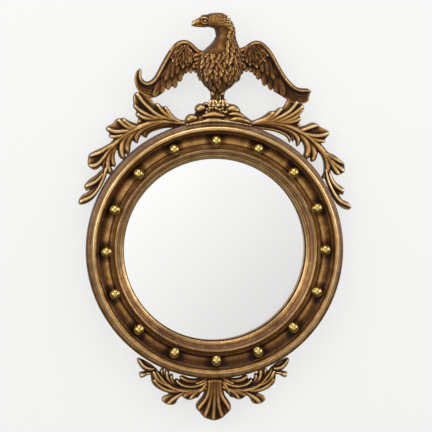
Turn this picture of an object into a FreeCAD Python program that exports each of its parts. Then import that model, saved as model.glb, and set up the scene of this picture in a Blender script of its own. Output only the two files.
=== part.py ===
"""Girandole mirror: a round giltwood frame with a convex glass, sixteen balls in its cove,
an eagle on a rock between two leafy crest sprays, and a leafy apron below.

Millimetres. The origin lies on the axis of the ring, in the plane of the wall behind it.
X runs to the viewer's right, Z up, and the front of the mirror faces -Y.
"""
import FreeCAD
import Part
import math
import os

Vector = FreeCAD.Vector

# ---------------------------------------------------------------- driving dimensions
# glass and what holds it
glass_diameter = 355.6
glass_thickness = 3.0
glass_curve_radius = 640.0
glass_cover = 6.3
spacer_width = 11.0
backboard_thickness = 4.0

# turned ring: widths outwards from the slip, depths from the wall
ring_depth = 50.0
ring_back_width = 12.0
ring_side_taper = 4.5
ring_side_height = 12.0
edge_bead_width = 7.0
edge_bead_depth = 38.0
rim_width = 13.0
rim_rise = 8.0
cove_width = 21.5
cove_depth = 36.0
cove_edge_depth = 39.2
cove_floor_width = 9.0
cove_rise_bulge = 6.5
inner_land_width = 1.7
inner_bead_width = 5.0
inner_bead_depth = 41.0
recess_depth = 9.0
recess_draft = 2.0

# reeded slip inside the ring
slip_width = 20.7
slip_lip = 2.0
slip_crest_depth = 48.0
slip_band_width = 7.0
slip_band_rise = 6.0
reed_count = 3
reed_rise = 1.6

# balls in the cove
ball_count = 16
ball_diameter = 21.0
ball_set_in = 5.8
ball_neck_diameter = 6.4
ball_neck_height = 2.4
ball_pin_diameter = 4.0
ball_pin_length = 7.0

# turn buttons over the backboard, and their screws
button_length = 34.0
button_width = 10.0
button_thickness = 2.0
button_overlap = 12.0
button_count = 4
button_screw_diameter = 3.5
button_screw_length = 14.0
screw_head_diameter = 7.0
screw_head_height = 2.0

# ring hangers
strap_length = 44.0
strap_width = 15.0
strap_thickness = 1.2
strap_angle = 66.0
strap_set_out = 16.7
strap_eye_lift = 0.3
strap_screw_drops = (24.0, 36.0)
ring_wire_diameter = 2.4
ring_inner_width = 18.0
ring_inner_height = 15.0
hanger_screw_length = 11.0

# crest: rock and eagle
rock_height = 33.5
rock_width_left = 58.0
rock_width_right = 69.0
rock_front = 50.0
rock_back = 9.0
rock_skirt = 18.0
eagle_height = 167.0
eagle_depth = 31.0
leg_spacing = 18.0
leg_centre = 4.0
leg_diameter = 9.0
front_toe_length = 17.0
hind_toe_length = 10.0
wing_depth = 27.0
wing_thickness = 15.0
wing_tip_thickness = 9.0
feather_rise = 7.0
feather_edge = 2.5

# carved leaves: how far they reach beyond the ring, and their depths
leaf_pattern_radius = 240.5
crest_reach = 89.0
apron_reach = 80.0
leaf_back = 13.0
leaf_edge = 9.0
leaf_crest = 22.0
shell_extra_depth = 4.0
apron_right_reach = 0.96

# dowels
dowel_diameter = 6.0
dowel_length = 20.0
leg_dowel_diameter = 4.0
leg_dowel_length = 16.0

# facets
arc_chords = 3
peg_corners = 8
ball_corners = 10
ball_facets = 5

# clearances
glue_gap = 0.1
fit_gap = 0.5
turning_gap = 0.05

# ---------------------------------------------------------------- values that follow
axis_y = Vector(0, -1, 0)
glass_radius = glass_diameter / 2
sight_radius = glass_radius - glass_cover
slip_radius = sight_radius + slip_width
slip_rebate_radius = slip_radius + glue_gap
cove_inner_radius = slip_rebate_radius + inner_land_width + inner_bead_width
rim_inner_radius = cove_inner_radius + cove_width
rim_outer_radius = rim_inner_radius + rim_width
ring_radius = rim_outer_radius + edge_bead_width
recess_radius = ring_radius - ring_side_taper - ring_back_width - recess_draft
bore_radius = glass_radius + fit_gap
backboard_radius = bore_radius - fit_gap
ledge = recess_depth
backboard_front = ledge + backboard_thickness
ball_circle_radius = cove_inner_radius + ball_set_in
strap_eye_radius = ring_wire_diameter / 2 + turning_gap + strap_thickness
hanger_axis_height = glue_gap + strap_eye_radius + strap_eye_lift


def sphere_sag(curve_radius, radius):
    return curve_radius - math.sqrt(curve_radius ** 2 - radius ** 2)


back_curve_radius = glass_curve_radius - glass_thickness
edge_sag = sphere_sag(glass_curve_radius, glass_radius)
sight_sag = sphere_sag(glass_curve_radius, sight_radius)
edge_thickness = glass_thickness + sphere_sag(back_curve_radius, glass_radius) - edge_sag
spacer_thickness = 3.0
glass_back_edge = backboard_front + glue_gap + spacer_thickness + glue_gap
glass_front_edge = glass_back_edge + edge_thickness
glass_crest = glass_front_edge + edge_sag
slip_back = glass_crest - sight_sag + glue_gap

# the cove has a flat floor under the balls, which stand on short necks
floor_inner_radius = ball_circle_radius - cove_floor_width / 2
floor_outer_radius = ball_circle_radius + cove_floor_width / 2
ball_neck_radius = ball_neck_diameter / 2
ball_base_drop = math.sqrt((ball_diameter / 2) ** 2 - ball_neck_radius ** 2)
ball_centre_depth = cove_depth + glue_gap + ball_neck_height + ball_base_drop
ball_pin_floor = cove_depth - ball_pin_length

# the carver's measures of bird and leaves, in parts of their height and reach
rock_top = ring_radius + rock_height
bird_unit = eagle_height / 167
crest_unit = crest_reach / 89
apron_unit = apron_reach / 80


# ---------------------------------------------------------------- helpers
def save(name, *solids):
    shape = solids[0] if len(solids) == 1 else Part.makeCompound(list(solids))
    shape.exportStep("parts/" + name + ".step")
    print(name, len(shape.Solids), round(shape.Volume))


def profile_point(radius, depth):
    return Vector(radius, -depth, 0)


def turned(path):
    """Revolves a profile about the ring's axis: points are corners, pairs are arcs."""
    here = profile_point(*path[0])
    corners = [here]
    for step in path[1:]:
        if isinstance(step[0], tuple):
            bow = Part.Arc(here, profile_point(*step[0]), profile_point(*step[1])).toShape()
            corners += bow.discretize(arc_chords + 1)[1:]
        else:
            corners.append(profile_point(*step))
        here = corners[-1]
    face = Part.Face(Part.makePolygon(corners + corners[:1]))
    return face.revolve(Vector(0, 0, 0), Vector(0, 1, 0), 360)


def peg(start, along, radius, length, corners=peg_corners):
    """A straight peg in flats whose corners lie on its radius."""
    axis = Vector(along).normalize()
    side = Vector(0, 0, 1) if abs(axis.z) < 0.9 else Vector(1, 0, 0)
    across = axis.cross(side).normalize()
    other = axis.cross(across)
    outline = []
    for k in range(corners):
        turn = 2 * math.pi * k / corners
        outline.append(start + across * (radius * math.cos(turn)) + other * (radius * math.sin(turn)))
    return Part.Face(Part.makePolygon(outline + outline[:1])).extrude(axis * length)


def socket(start, along, radius, length, corners=peg_corners):
    """The hole for a peg: its flats clear a circle of the given radius."""
    return peg(start, along, radius / math.cos(math.pi / corners), length, corners)


def disc(radius, front, back):
    return Part.makeCylinder(radius, front - back, Vector(0, -back, 0), axis_y)


def on_ring(angle, height, depth, foot=False):
    """A point above the rim, by its way round from the top or the foot.

    The angle is that on the radius of the leaf pattern, so that leaves keep their size.
    """
    turn = math.radians(angle) * leaf_pattern_radius / ring_radius
    reach = ring_radius + height
    up = -1 if foot else 1
    return Vector(reach * math.sin(turn), -depth, up * reach * math.cos(turn))


def skin(rings):
    """A closed solid of flat facets through a row of outlines with equal corners."""
    faces = []
    for near, far in zip(rings, rings[1:]):
        count = len(near)
        for i in range(count):
            j = (i + 1) % count
            faces.append(Part.Face(Part.makePolygon([near[i], near[j], far[j], near[i]])))
            faces.append(Part.Face(Part.makePolygon([near[i], far[j], far[i], near[i]])))
    for end in (rings[0], rings[-1]):
        faces.append(Part.Face(Part.makePolygon(end + [end[0]])))
    solid = Part.Solid(Part.Shell(faces))
    if solid.Volume < 0:
        solid.reverse()
    return solid


def curve_through(points):
    curve = Part.BSplineCurve()
    curve.interpolate(points)
    return curve


def leaf(route, widths, back=leaf_back, edge=leaf_edge, crest=leaf_crest, stations=5):
    """One carved lobe: a flat back, two square edges and a ridge along the route."""
    curve = curve_through(route)
    rings = []
    for k in range(stations):
        along = k / (stations - 1)
        spot = curve.value(curve.LastParameter * along)
        ahead = curve.tangent(curve.LastParameter * along)[0]
        across = Vector(ahead.z, 0, -ahead.x).normalize()
        place = along * (len(widths) - 1)
        low = min(int(place), len(widths) - 2)
        half = (widths[low] + (widths[low + 1] - widths[low]) * (place - low)) / 2
        top = crest * (0.62 + 0.38 * math.sin(math.pi * (0.15 + 0.75 * along)))
        rings.append([
            spot + across * half + Vector(0, -back, 0),
            spot - across * half + Vector(0, -back, 0),
            spot - across * half + Vector(0, -back - edge, 0),
            spot + Vector(0, -back - top, 0),
            spot + across * half + Vector(0, -back - edge, 0),
        ])
    return skin(rings)


def carving(lobes, unit, foot=False, mirror=1, reach=1.0, **depths):
    """Fuses lobes given as (angle, height) routes, and seats them on the ring's side."""
    solids = []
    for route, widths in lobes:
        points = [on_ring(mirror * a * reach, h * unit, 0, foot) for a, h in route]
        solids.append(leaf(points, [w * unit for w in widths], **depths))
    body = solids[0].multiFuse(solids[1:])
    seat = disc(ring_radius + glue_gap, ring_depth * 2, -ring_depth)
    return body.cut(seat).removeSplitter()


# ---------------------------------------------------------------- dowels
crest_left_dowels = (16.5, 42.0)
crest_right_dowels = (19.0, 45.5)
apron_dowels = (-22.0, -5.5, 0.0, 5.5, 21.0)
plinth_dowels = (-rock_width_left * 0.48, rock_width_right * 0.55)
wing_roots = ((-24.0, 83.0), (42.0, 83.0))


def dowel(middle, along, diameter, length, play=0.0):
    """A pin about its middle, or with some play the hole that takes it."""
    reach = length / 2 + play * 4
    start = middle - along * reach
    if play:
        return socket(start, along, diameter / 2 + play, reach * 2)
    return peg(start, along, diameter / 2, reach * 2)


def radial_dowel(angle, foot=False, play=0.0):
    middle = on_ring(angle, 0, leaf_back + dowel_diameter, foot)
    outward = Vector(middle.x, 0, middle.z).normalize()
    return dowel(middle, outward, dowel_diameter, dowel_length, play)


def crest_dowel_list(play=0.0):
    angles = [-a for a in crest_left_dowels] + list(crest_right_dowels)
    return [radial_dowel(a, False, play) for a in angles]


def apron_dowel_list(play=0.0):
    return [radial_dowel(a, True, play) for a in apron_dowels]


def plinth_dowel_list(play=0.0):
    depth = (rock_front + rock_back) / 2
    seats = [(x, math.sqrt(ring_radius ** 2 - x ** 2)) for x in plinth_dowels]
    return [dowel(Vector(x, -depth, z), Vector(0, 0, 1), dowel_diameter, dowel_length, play)
            for x, z in seats]


def bird_spot(x, height, depth):
    """A point of the bird: across and up in its own measure, up from the rock."""
    return Vector(x * bird_unit, -depth, rock_top + height * bird_unit)


def leg_places():
    return [leg_centre - leg_spacing / 2, leg_centre + leg_spacing / 2]


def leg_dowel_list(play=0.0):
    return [dowel(Vector(x, -eagle_depth, rock_top), Vector(0, 0, 1), leg_dowel_diameter,
                  leg_dowel_length, play) for x in leg_places()]


def wing_dowel_list(play=0.0):
    roots = [bird_spot(x, height, wing_depth) for x, height in wing_roots]
    return [dowel(root, Vector(1, 0, 0), dowel_diameter, dowel_length, play) for root in roots]


def frame_holes():
    """Every hole bored in the ring for dowels and screws."""
    screws = [pilot(button_pivot(a, ledge), button_screw_length) for a in button_angles()]
    for side in (-1, 1):
        screws += [pilot(p, hanger_screw_length) for p in strap_holes(side)]
    return (crest_dowel_list(turning_gap) + apron_dowel_list(turning_gap)
            + plinth_dowel_list(turning_gap) + screws)


def pilot(point, length):
    return socket(point, axis_y, button_screw_diameter / 2 + turning_gap, length + fit_gap)


# ---------------------------------------------------------------- ring and slip
def frame_ring():
    side = ring_radius
    rim_out = rim_outer_radius
    rim_in = rim_inner_radius
    cove_in = cove_inner_radius
    bead_in = cove_in - inner_bead_width
    bead_round = inner_bead_width * 0.3
    rim_floor = ring_depth - rim_rise
    edge_round = edge_bead_width * 0.4
    dip = (cove_edge_depth - cove_depth) * 0.4
    body = turned([
        (bore_radius, ledge),
        (bore_radius, slip_back - glue_gap),
        (slip_rebate_radius, slip_back - glue_gap),
        (slip_rebate_radius, cove_edge_depth),
        (bead_in, cove_edge_depth),
        (bead_in + bead_round, inner_bead_depth),
        (cove_in - bead_round, inner_bead_depth),
        (cove_in, cove_edge_depth),
        (floor_inner_radius, cove_depth),
        (floor_outer_radius, cove_depth),
        ((floor_outer_radius + cove_rise_bulge, cove_depth + dip), (rim_in, rim_floor)),
        (((rim_in + rim_out) / 2, ring_depth), (rim_out, edge_bead_depth)),
        (side - edge_round, edge_bead_depth),
        (side, edge_bead_depth - edge_round),
        (side, ring_side_height),
        (side - ring_side_taper, 0),
        (side - ring_side_taper - ring_back_width, 0),
        (recess_radius, ledge),
    ])
    holes = [ball_hole(k) for k in range(ball_count)]
    return body.cut(Part.makeCompound(holes + frame_holes()))


def inner_slip():
    reed_start = sight_radius + slip_lip
    band_foot = slip_crest_depth - slip_band_rise
    band_in = slip_radius - slip_band_width
    reed_step = (band_in - reed_start) / reed_count
    climb = (band_foot - slip_back - slip_lip) / reed_count
    path = [(sight_radius, slip_back), (sight_radius, slip_back + slip_lip)]
    for k in range(reed_count):
        near = (reed_start + k * reed_step, slip_back + slip_lip + k * climb)
        path.append(near)
        path.append((near[0] + reed_rise, near[1] + climb * 0.8 + reed_rise))
    path.append((band_in, band_foot))
    path.append(((band_in + slip_band_width / 2, slip_crest_depth), (slip_radius, band_foot)))
    path.append((slip_radius, slip_back))
    return turned(path)


# ---------------------------------------------------------------- glass and back
def dished(curve_radius, crest, radius, back):
    """The space behind a convex face of the given crest depth, cut off at a radius."""
    ball = Part.makeSphere(curve_radius, Vector(0, curve_radius - crest, 0))
    return ball.common(disc(radius, crest + 1, back))


def mirror_glass():
    front = dished(glass_curve_radius, glass_crest, glass_radius, 0)
    hollow = dished(back_curve_radius, glass_crest - glass_thickness, glass_radius + 1, -1)
    return front.cut(hollow)


def glass_spacer():
    front = backboard_front + glue_gap + spacer_thickness
    back = backboard_front + glue_gap
    inner = backboard_radius - spacer_width
    return disc(backboard_radius, front, back).cut(disc(inner, front + 1, back - 1))


def backboard():
    return disc(backboard_radius, backboard_front, ledge)


# ---------------------------------------------------------------- balls
def ball_place(index):
    turn = 2 * math.pi * index / ball_count
    return ball_circle_radius * math.sin(turn), ball_circle_radius * math.cos(turn)


def ball_hole(index):
    x, z = ball_place(index)
    radius = ball_pin_diameter / 2 + turning_gap
    foot = Vector(x, fit_gap - ball_pin_floor, z)
    return socket(foot, axis_y, radius, ball_pin_length + 6)


def brass_ball(index):
    """A ball on a pin, its axis square to the wall."""
    x, z = ball_place(index)
    radius = ball_diameter / 2
    pin = ball_pin_diameter / 2
    last = math.pi - math.asin(ball_neck_radius / radius)
    sections = []
    for k in range(ball_facets + 1):
        swing = 0.15 + (last - 0.15) * k / ball_facets
        sections.append((radius * math.sin(swing), ball_centre_depth + radius * math.cos(swing)))
    sections.append((ball_neck_radius, cove_depth + glue_gap))
    sections.append((pin, cove_depth + glue_gap))
    sections.append((pin, ball_pin_floor))
    rings = []
    for reach, depth in sections:
        ring = []
        for k in range(ball_corners):
            turn = 2 * math.pi * k / ball_corners
            ring.append(Vector(x + reach * math.cos(turn), -depth, z + reach * math.sin(turn)))
        rings.append(ring)
    return skin(rings)


# ---------------------------------------------------------------- turn buttons
def button_angles():
    return [45 + 360 / button_count * k for k in range(button_count)]


def button_pivot(angle, depth):
    reach = bore_radius + button_length - button_overlap - button_width / 2
    turn = math.radians(angle)
    return Vector(reach * math.sin(turn), -depth, reach * math.cos(turn))


def turn_button(angle):
    """A round-ended bar lying back on the ledge, its long end over the backboard."""
    half = button_width / 2
    outline = []
    for centre, start in ((0, 0), (button_width - button_length, math.pi)):
        for k in range(arc_chords + 2):
            turn = start + math.pi * k / (arc_chords + 1)
            outline.append(Vector(half * math.cos(turn), 0, centre + half * math.sin(turn)))
    bar = Part.Face(Part.makePolygon(outline + outline[:1])).extrude(Vector(0, button_thickness, 0))
    bore = socket(Vector(0, -1, 0), -axis_y, button_screw_diameter / 2 + turning_gap, button_thickness + 2)
    bar = bar.cut(bore)
    bar.rotate(Vector(0, 0, 0), Vector(0, 1, 0), angle)
    bar.translate(button_pivot(angle, ledge - glue_gap))
    return bar


def pan_screw(point, shank, length, grip):
    """A screw driven forwards at a point of the ledge, its head standing off by the grip."""
    seat = point + Vector(0, grip, 0)
    head = peg(seat, -axis_y, screw_head_diameter / 2, screw_head_height)
    return head.fuse(peg(seat, axis_y, shank / 2, length + grip)).removeSplitter()


def button_screw(angle):
    grip = button_thickness + 2 * glue_gap
    return pan_screw(button_pivot(angle, ledge), button_screw_diameter, button_screw_length, grip)


# ---------------------------------------------------------------- ring hangers
def hanger_point(side):
    """The middle of the wire bar, where the loose ring turns."""
    turn = math.radians(strap_angle)
    reach = bore_radius + strap_set_out
    x = side * reach * math.sin(turn)
    return Vector(x, -ledge + hanger_axis_height, reach * math.cos(turn) + strap_length / 2)


def hanger_strap(side):
    """A folded strap: a flat plate with a rolled eye at its top for the wire ring."""
    eye = hanger_point(side)
    start = Vector(eye.x - strap_width / 2, eye.y, eye.z)
    along = Vector(1, 0, 0)
    roll = peg(start, along, strap_eye_radius, strap_width, 12)
    corner = Vector(start.x, glue_gap - ledge, eye.z - strap_length)
    plate = Part.makeBox(strap_width, strap_thickness, strap_length, corner)
    wire_hole = ring_wire_diameter / 2 + turning_gap
    screw_hole = button_screw_diameter / 2 + turning_gap
    cuts = [socket(start - along, along, wire_hole, strap_width + 2)]
    for point in strap_holes(side):
        cuts.append(socket(point, -axis_y, screw_hole, strap_thickness * 4))
    return roll.fuse(plate).cut(Part.makeCompound(cuts)).removeSplitter()


def strap_holes(side):
    eye = hanger_point(side)
    return [Vector(eye.x, -ledge, eye.z - drop) for drop in strap_screw_drops]


def hanger_ring(side):
    """A D of wire hanging from the strap's eye: a straight bar and a round bow."""
    eye = hanger_point(side)
    wire = ring_wire_diameter / 2
    half = (ring_inner_width + ring_wire_diameter) / 2
    drop = ring_inner_height + ring_wire_diameter - half
    sections = [(half, 0, 0)]
    for k in range(arc_chords * 2 + 1):
        turn = math.pi * k / (arc_chords * 2)
        sections.append((half * math.cos(turn), -drop - half * math.sin(turn), turn))
    sections.append((-half, 0, math.pi))
    rings = []
    for x, z, turn in sections:
        spot = eye + Vector(x, 0, z)
        outward = Vector(math.cos(turn), 0, -math.sin(turn))
        ring = []
        for k in range(8):
            swing = 2 * math.pi * k / 8
            ring.append(spot + outward * (wire * math.cos(swing)) + Vector(0, wire * math.sin(swing), 0))
        rings.append(ring)
    bar = peg(eye - Vector(half, 0, 0), Vector(1, 0, 0), wire, half * 2)
    return skin(rings).fuse(bar).removeSplitter()


def hanger_screw(point):
    return pan_screw(point, button_screw_diameter, hanger_screw_length, strap_thickness + 2 * glue_gap)


# ---------------------------------------------------------------- rock and eagle
def oval(centre, half_width, half_depth, corners, level):
    """A level outline of evenly turned corners, wider than deep or deeper than wide."""
    ring = []
    for k in range(corners):
        turn = 2 * math.pi * (k + 0.5) / corners
        ring.append(Vector(centre.x + half_width * math.cos(turn),
                           centre.y + half_depth * math.sin(turn), level))
    return ring


def rock_spot(across, height):
    """A point of the rock, in parts of its width on that side and of its height."""
    width = rock_width_left if across < 0 else rock_width_right
    return Vector(across * width, 0, ring_radius + height * rock_height)


def rock_plinth():
    """A low mound of flat rocks, hollowed below to sit on the ring."""
    middle = (rock_front + rock_back) / 2
    reach = (rock_front - rock_back) / 2
    layers = [
        (1.0, 1.0, -rock_skirt / rock_height, 1.0),
        (1.0, 1.0, 0.09, 1.0),
        (0.90, 0.87, 0.36, 0.98),
        (0.67, 0.73, 0.51, 0.92),
        (0.62, 0.64, 0.78, 0.85),
        (0.45, 0.52, 0.93, 0.75),
        (0.24, 0.32, 1.0, 0.6),
    ]
    rings = []
    for left, right, height, share in layers:
        west = rock_spot(-left, height)
        east = rock_spot(right, height)
        centre = Vector((west.x + east.x) / 2, -middle, 0)
        rings.append(oval(centre, (east.x - west.x) / 2, reach * share, 14, west.z))
    mound = skin(rings)
    ridges = [
        ([(-0.52, 0.12), (-0.10, 0.18), (0.32, 0.09)], [3, 9, 5]),
        ([(-0.48, 0.36), (0.0, 0.45), (0.38, 0.33)], [3, 8, 4]),
        ([(0.29, 0.18), (0.65, 0.33), (0.91, 0.09)], [4, 9, 4]),
        ([(-0.93, 0.03), (-0.76, 0.27), (-0.66, 0.12)], [6, 11, 5]),
        ([(0.26, 0.66), (0.46, 0.81), (0.65, 0.54)], [5, 12, 5]),
        ([(-0.60, 0.54), (-0.48, 0.78), (-0.31, 0.66)], [5, 11, 6]),
    ]
    lumps = []
    for route, widths in ridges:
        points = [rock_spot(across, height) for across, height in route]
        sizes = [width * rock_height / 33.5 for width in widths]
        lumps.append(leaf(points, sizes, back=middle + reach * 0.1, edge=reach * 0.49, crest=reach * 0.83))
    body = mound.multiFuse(lumps)
    seat = disc(ring_radius + glue_gap, ring_depth * 2, -ring_depth)
    holes = plinth_dowel_list(turning_gap) + leg_dowel_list(turning_gap)
    return body.cut(seat).cut(Part.makeCompound(holes)).removeSplitter()


def eagle_body():
    """The bird from head to talons, facing left, its wings apart."""
    trunk = [
        (-5, 14, 8, 15),
        (-14, 22, 14, 25),
        (-24, 34, 19, 38),
        (-29, 43, 23, 52),
        (-31, 46, 25, 68),
        (-27, 46, 24, 82),
        (-17, 44, 21, 95),
        (-8, 41, 18, 105),
        (-1, 38, 16, 116),
        (3, 36, 14, 127),
        (1, 34, 13, 138),
        (-2, 29, 12, 150),
    ]
    trunk_rings = []
    for left, right, depth, height in trunk:
        centre = bird_spot((left + right) / 2, height, eagle_depth)
        trunk_rings.append(oval(centre, (right - left) / 2 * bird_unit, depth * bird_unit, 12, centre.z))
    head = [
        (27, 141, 154, 8),
        (20, 134, 160, 11),
        (8, 138, 166, 13),
        (-6, 140, 167, 13),
        (-18, 141, 166, 11),
        (-27, 141, 163, 8),
        (-35, 141, 157, 5),
        (-41, 141, 154, 3.5),
        (-44.5, 143, 149, 2),
    ]
    head_depth = eagle_depth + 4 * bird_unit
    head_rings = []
    for x, low, high, depth in head:
        centre = bird_spot(x, (low + high) / 2, head_depth)
        ring = []
        for k in range(10):
            turn = 2 * math.pi * (k + 0.5) / 10
            reach = Vector(0, depth * math.cos(turn), (high - low) / 2 * math.sin(turn))
            ring.append(centre + reach * bird_unit)
        head_rings.append(ring)
    pieces = [skin(head_rings)]
    for x in leg_places():
        pieces.append(leg(x))
        pieces.extend(talon(x, swing) for swing in (-38, 0, 38, 180))
    body = skin(trunk_rings).multiFuse(pieces)
    return body.cut(Part.makeCompound(leg_dowel_list(turning_gap) + wing_dowel_list(turning_gap)))


def leg(x):
    """A feathered thigh over a thinner shank that stands on the rock."""
    foot = rock_top + glue_gap
    rings = []
    for share, height in ((0.62, 28), (0.62, 16), (0.42, 10), (0.5, 0)):
        radius = leg_diameter * share
        rings.append(oval(Vector(x, -eagle_depth, 0), radius, radius, 8, foot + height * bird_unit))
    return skin(rings)


def talon(x, swing):
    """One toe, arched forward over the rock and tapering to a claw."""
    turn = math.radians(swing)
    length = hind_toe_length if swing == 180 else front_toe_length
    floor = rock_top + glue_gap
    rings = []
    for share, thick, arch in ((0.0, 0.47, 0.47), (0.45, 0.38, 0.56), (0.8, 0.29, 0.33), (1.0, 0.11, 0.11)):
        reach = length * share
        radius = leg_diameter * thick
        rise = leg_diameter * arch
        spot = Vector(x + reach * math.sin(turn), -eagle_depth - reach * math.cos(turn), floor + rise)
        across = Vector(math.cos(turn), math.sin(turn), 0)
        ring = []
        for k in range(6):
            angle = 2 * math.pi * (k + 0.5) / 6
            up = max(-rise, radius * math.sin(angle))
            ring.append(spot + across * (radius * math.cos(angle)) + Vector(0, 0, up))
        rings.append(ring)
    return skin(rings)


def eagle_wing(spans, feathers, body, root):
    """A half-spread wing: thick along its leading edge, thin behind, feathers laid on."""
    rings = []
    for k, (top_x, top_z, low_x, low_z) in enumerate(spans):
        share = k / (len(spans) - 1)
        thick = wing_thickness + (wing_tip_thickness - wing_thickness) * share
        top = bird_spot(top_x, top_z, wing_depth)
        low = bird_spot(low_x, low_z, wing_depth)
        chord = low - top
        shape = [(0.0, 0.28), (0.10, 0.5), (0.28, 0.30), (1.0, 0.16),
                 (1.0, -0.3), (0.28, -0.5), (0.0, -0.28)]
        rings.append([top + chord * along + Vector(0, -thick * out, 0) for along, out in shape])
    blades = []
    for route, widths in feathers:
        points = [bird_spot(x, height, 0) for x, height in route]
        sizes = [width * bird_unit for width in widths]
        blades.append(leaf(points, sizes, back=wing_depth - glue_gap, edge=feather_edge, crest=feather_rise))
    wing = skin(rings).multiFuse(blades).cut(body)
    return wing.cut(root).removeSplitter()


# wings: the top edge and the lower edge at each span, across and up from the rock
left_wing_spans = [
    (-14, 98, -14, 60), (-27, 99, -30, 59), (-40, 108, -45, 57), (-57, 118, -58, 55),
    (-75, 110, -67, 39), (-90, 89, -78, 28), (-103, 64, -96, 23), (-114, 48, -108, 13),
    (-124, 41, -123, 13), (-132, 43, -138, 23), (-137, 51, -149, 35),
    (-137, 58, -151, 48), (-137, 65, -145, 63),
]
left_wing_feathers = [
    ([(-62, 64), (-66, 52), (-70, 38)], [6, 10, 5]),
    ([(-68, 66), (-78, 44), (-82, 27)], [6, 11, 5]),
    ([(-74, 70), (-90, 44), (-97, 23)], [6, 11, 5]),
    ([(-80, 72), (-100, 41), (-122, 16)], [6, 11, 6]),
    ([(-88, 68), (-110, 36), (-132, 28), (-144, 46)], [6, 10, 10, 6]),
]
right_wing_spans = [
    (30, 98, 30, 60), (47, 102, 48, 58), (60, 107, 60, 58), (75, 116, 72, 54),
    (93, 109, 84, 41), (107, 91, 98, 29), (119, 69, 112, 21), (131, 51, 126, 13),
    (145, 35, 142, 4), (157, 28, 157, -3), (168, 27, 169, -2), (180, 26, 179, 7),
]
right_wing_feathers = [
    ([(76, 66), (84, 52), (93, 34)], [6, 10, 5]),
    ([(83, 68), (98, 46), (116, 20)], [6, 11, 5]),
    ([(90, 72), (110, 46), (140, 6)], [6, 11, 6]),
    ([(98, 74), (122, 42), (168, -1)], [6, 11, 7]),
    ([(104, 74), (132, 38), (179, 13)], [6, 10, 6]),
]

# ---------------------------------------------------------------- carved leaves
# each lobe is a route of (degrees round from the top, height above the ring) and its widths
crest_left = [
    ([(13, 2), (20, 14), (27, 25), (34, 30), (42, 32), (48, 28)], [8, 16, 18, 16, 14, 10]),
    ([(12.5, -2), (15, 3), (20, 6)], [6, 12, 4]),
    ([(15, 6), (18, 22), (19.4, 42)], [7, 13, 8]),
    ([(16, 10), (20.5, 30), (21.8, 53)], [9, 17, 11]),
    ([(18, 10), (22.6, 36), (24.8, 62), (25.6, 84)], [12, 22, 22, 14]),
    ([(19, 12), (25.2, 38), (27.2, 64), (27, 86)], [12, 22, 21, 12]),
    ([(22, 24), (27, 46), (29.0, 70)], [9, 18, 10]),
    ([(22, 24), (27.5, 38), (29.8, 54)], [9, 16, 10]),
    ([(26, 26), (33.8, 42), (35.6, 62)], [10, 22, 14]),
    ([(30, 28), (37, 44), (38.6, 61)], [10, 22, 14]),
    ([(34, 30), (39.8, 44), (41.2, 64)], [10, 18, 12]),
    ([(36, 31), (40.5, 38), (42.6, 50)], [9, 13, 8]),
    ([(40, 31), (47, 37), (52.4, 53)], [8, 18, 10]),
    ([(41, 32), (50, 33), (55, 44)], [8, 19, 12]),
    ([(45, 31), (52, 28), (56, 30)], [8, 15, 14]),
    ([(50, 22), (56, 14), (60.4, 18), (63.3, 30)], [8, 13, 15, 7]),
    ([(47, 27), (54, 12), (61, 7), (67.5, 13), (70, 28)], [10, 14, 14, 17, 8]),
    ([(15, 4), (21, 13), (27, 17), (31, 13), (32.3, 5)], [8, 8, 7, 6, 5]),
    ([(27, 22), (32, 23), (35, 14), (35.8, 4)], [8, 11, 11, 8]),
    ([(32, 27), (38, 22), (41, 8), (41.4, -2)], [10, 13, 13, 12]),
    ([(35, 28), (41, 24), (44, 12), (44.4, 2)], [10, 14, 14, 9]),
    ([(41, 30), (46.5, 22), (49, 11), (50, 2)], [8, 10, 10, 8]),
    ([(44, 31), (50, 22), (53, 10), (53.6, -2)], [8, 12, 13, 12]),
]
crest_right = [
    ([(15.5, 2), (22, 12), (28, 22), (35, 30), (44, 33), (51, 28)], [8, 15, 17, 16, 14, 10]),
    ([(15, -2), (18, 3), (23, 6)], [6, 12, 4]),
    ([(17, 7), (21, 22), (23, 39)], [7, 13, 8]),
    ([(18, 10), (23, 30), (25.2, 51)], [9, 17, 11]),
    ([(20, 12), (25.5, 38), (27.6, 72)], [10, 22, 20]),
    ([(21, 14), (28, 40), (29.8, 73)], [10, 22, 18]),
    ([(22, 20), (29, 44), (31.6, 72)], [9, 18, 12]),
    ([(24, 22), (30.5, 38), (33.2, 52)], [8, 15, 10]),
    ([(28, 27), (32, 34), (34.4, 42)], [6, 10, 7]),
    ([(31, 30), (36.8, 44), (38.6, 60)], [10, 20, 12]),
    ([(34, 32), (40, 44), (41.2, 60)], [10, 20, 12]),
    ([(37, 33), (42.6, 46), (44.4, 64)], [10, 18, 10]),
    ([(40, 33), (44, 39), (45.8, 48)], [9, 13, 8]),
    ([(42, 32), (50, 37), (56, 50)], [8, 18, 10]),
    ([(44, 33), (53, 33), (59, 42)], [8, 19, 13]),
    ([(48, 31), (55, 29), (59.2, 30)], [8, 15, 14]),
    ([(53, 24), (58, 16), (63, 16.5), (66.2, 25)], [8, 12, 14, 8]),
    ([(50, 28), (57, 12), (64, 7), (70, 13), (72.8, 27)], [10, 14, 13, 18, 9]),
    ([(18, 5), (24, 14), (30, 18), (35, 12)], [8, 9, 8, 6]),
    ([(30, 24), (35, 21), (38, 13), (38.7, 5)], [8, 11, 11, 9]),
    ([(35, 29), (41, 22), (44.5, 10), (45, -2)], [10, 15, 15, 12]),
    ([(40, 29), (45, 22), (47.4, 10), (47.6, 3)], [9, 12, 10, 8]),
    ([(45, 31), (51, 23), (55, 10), (56.5, -2)], [10, 14, 15, 14]),
]
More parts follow.
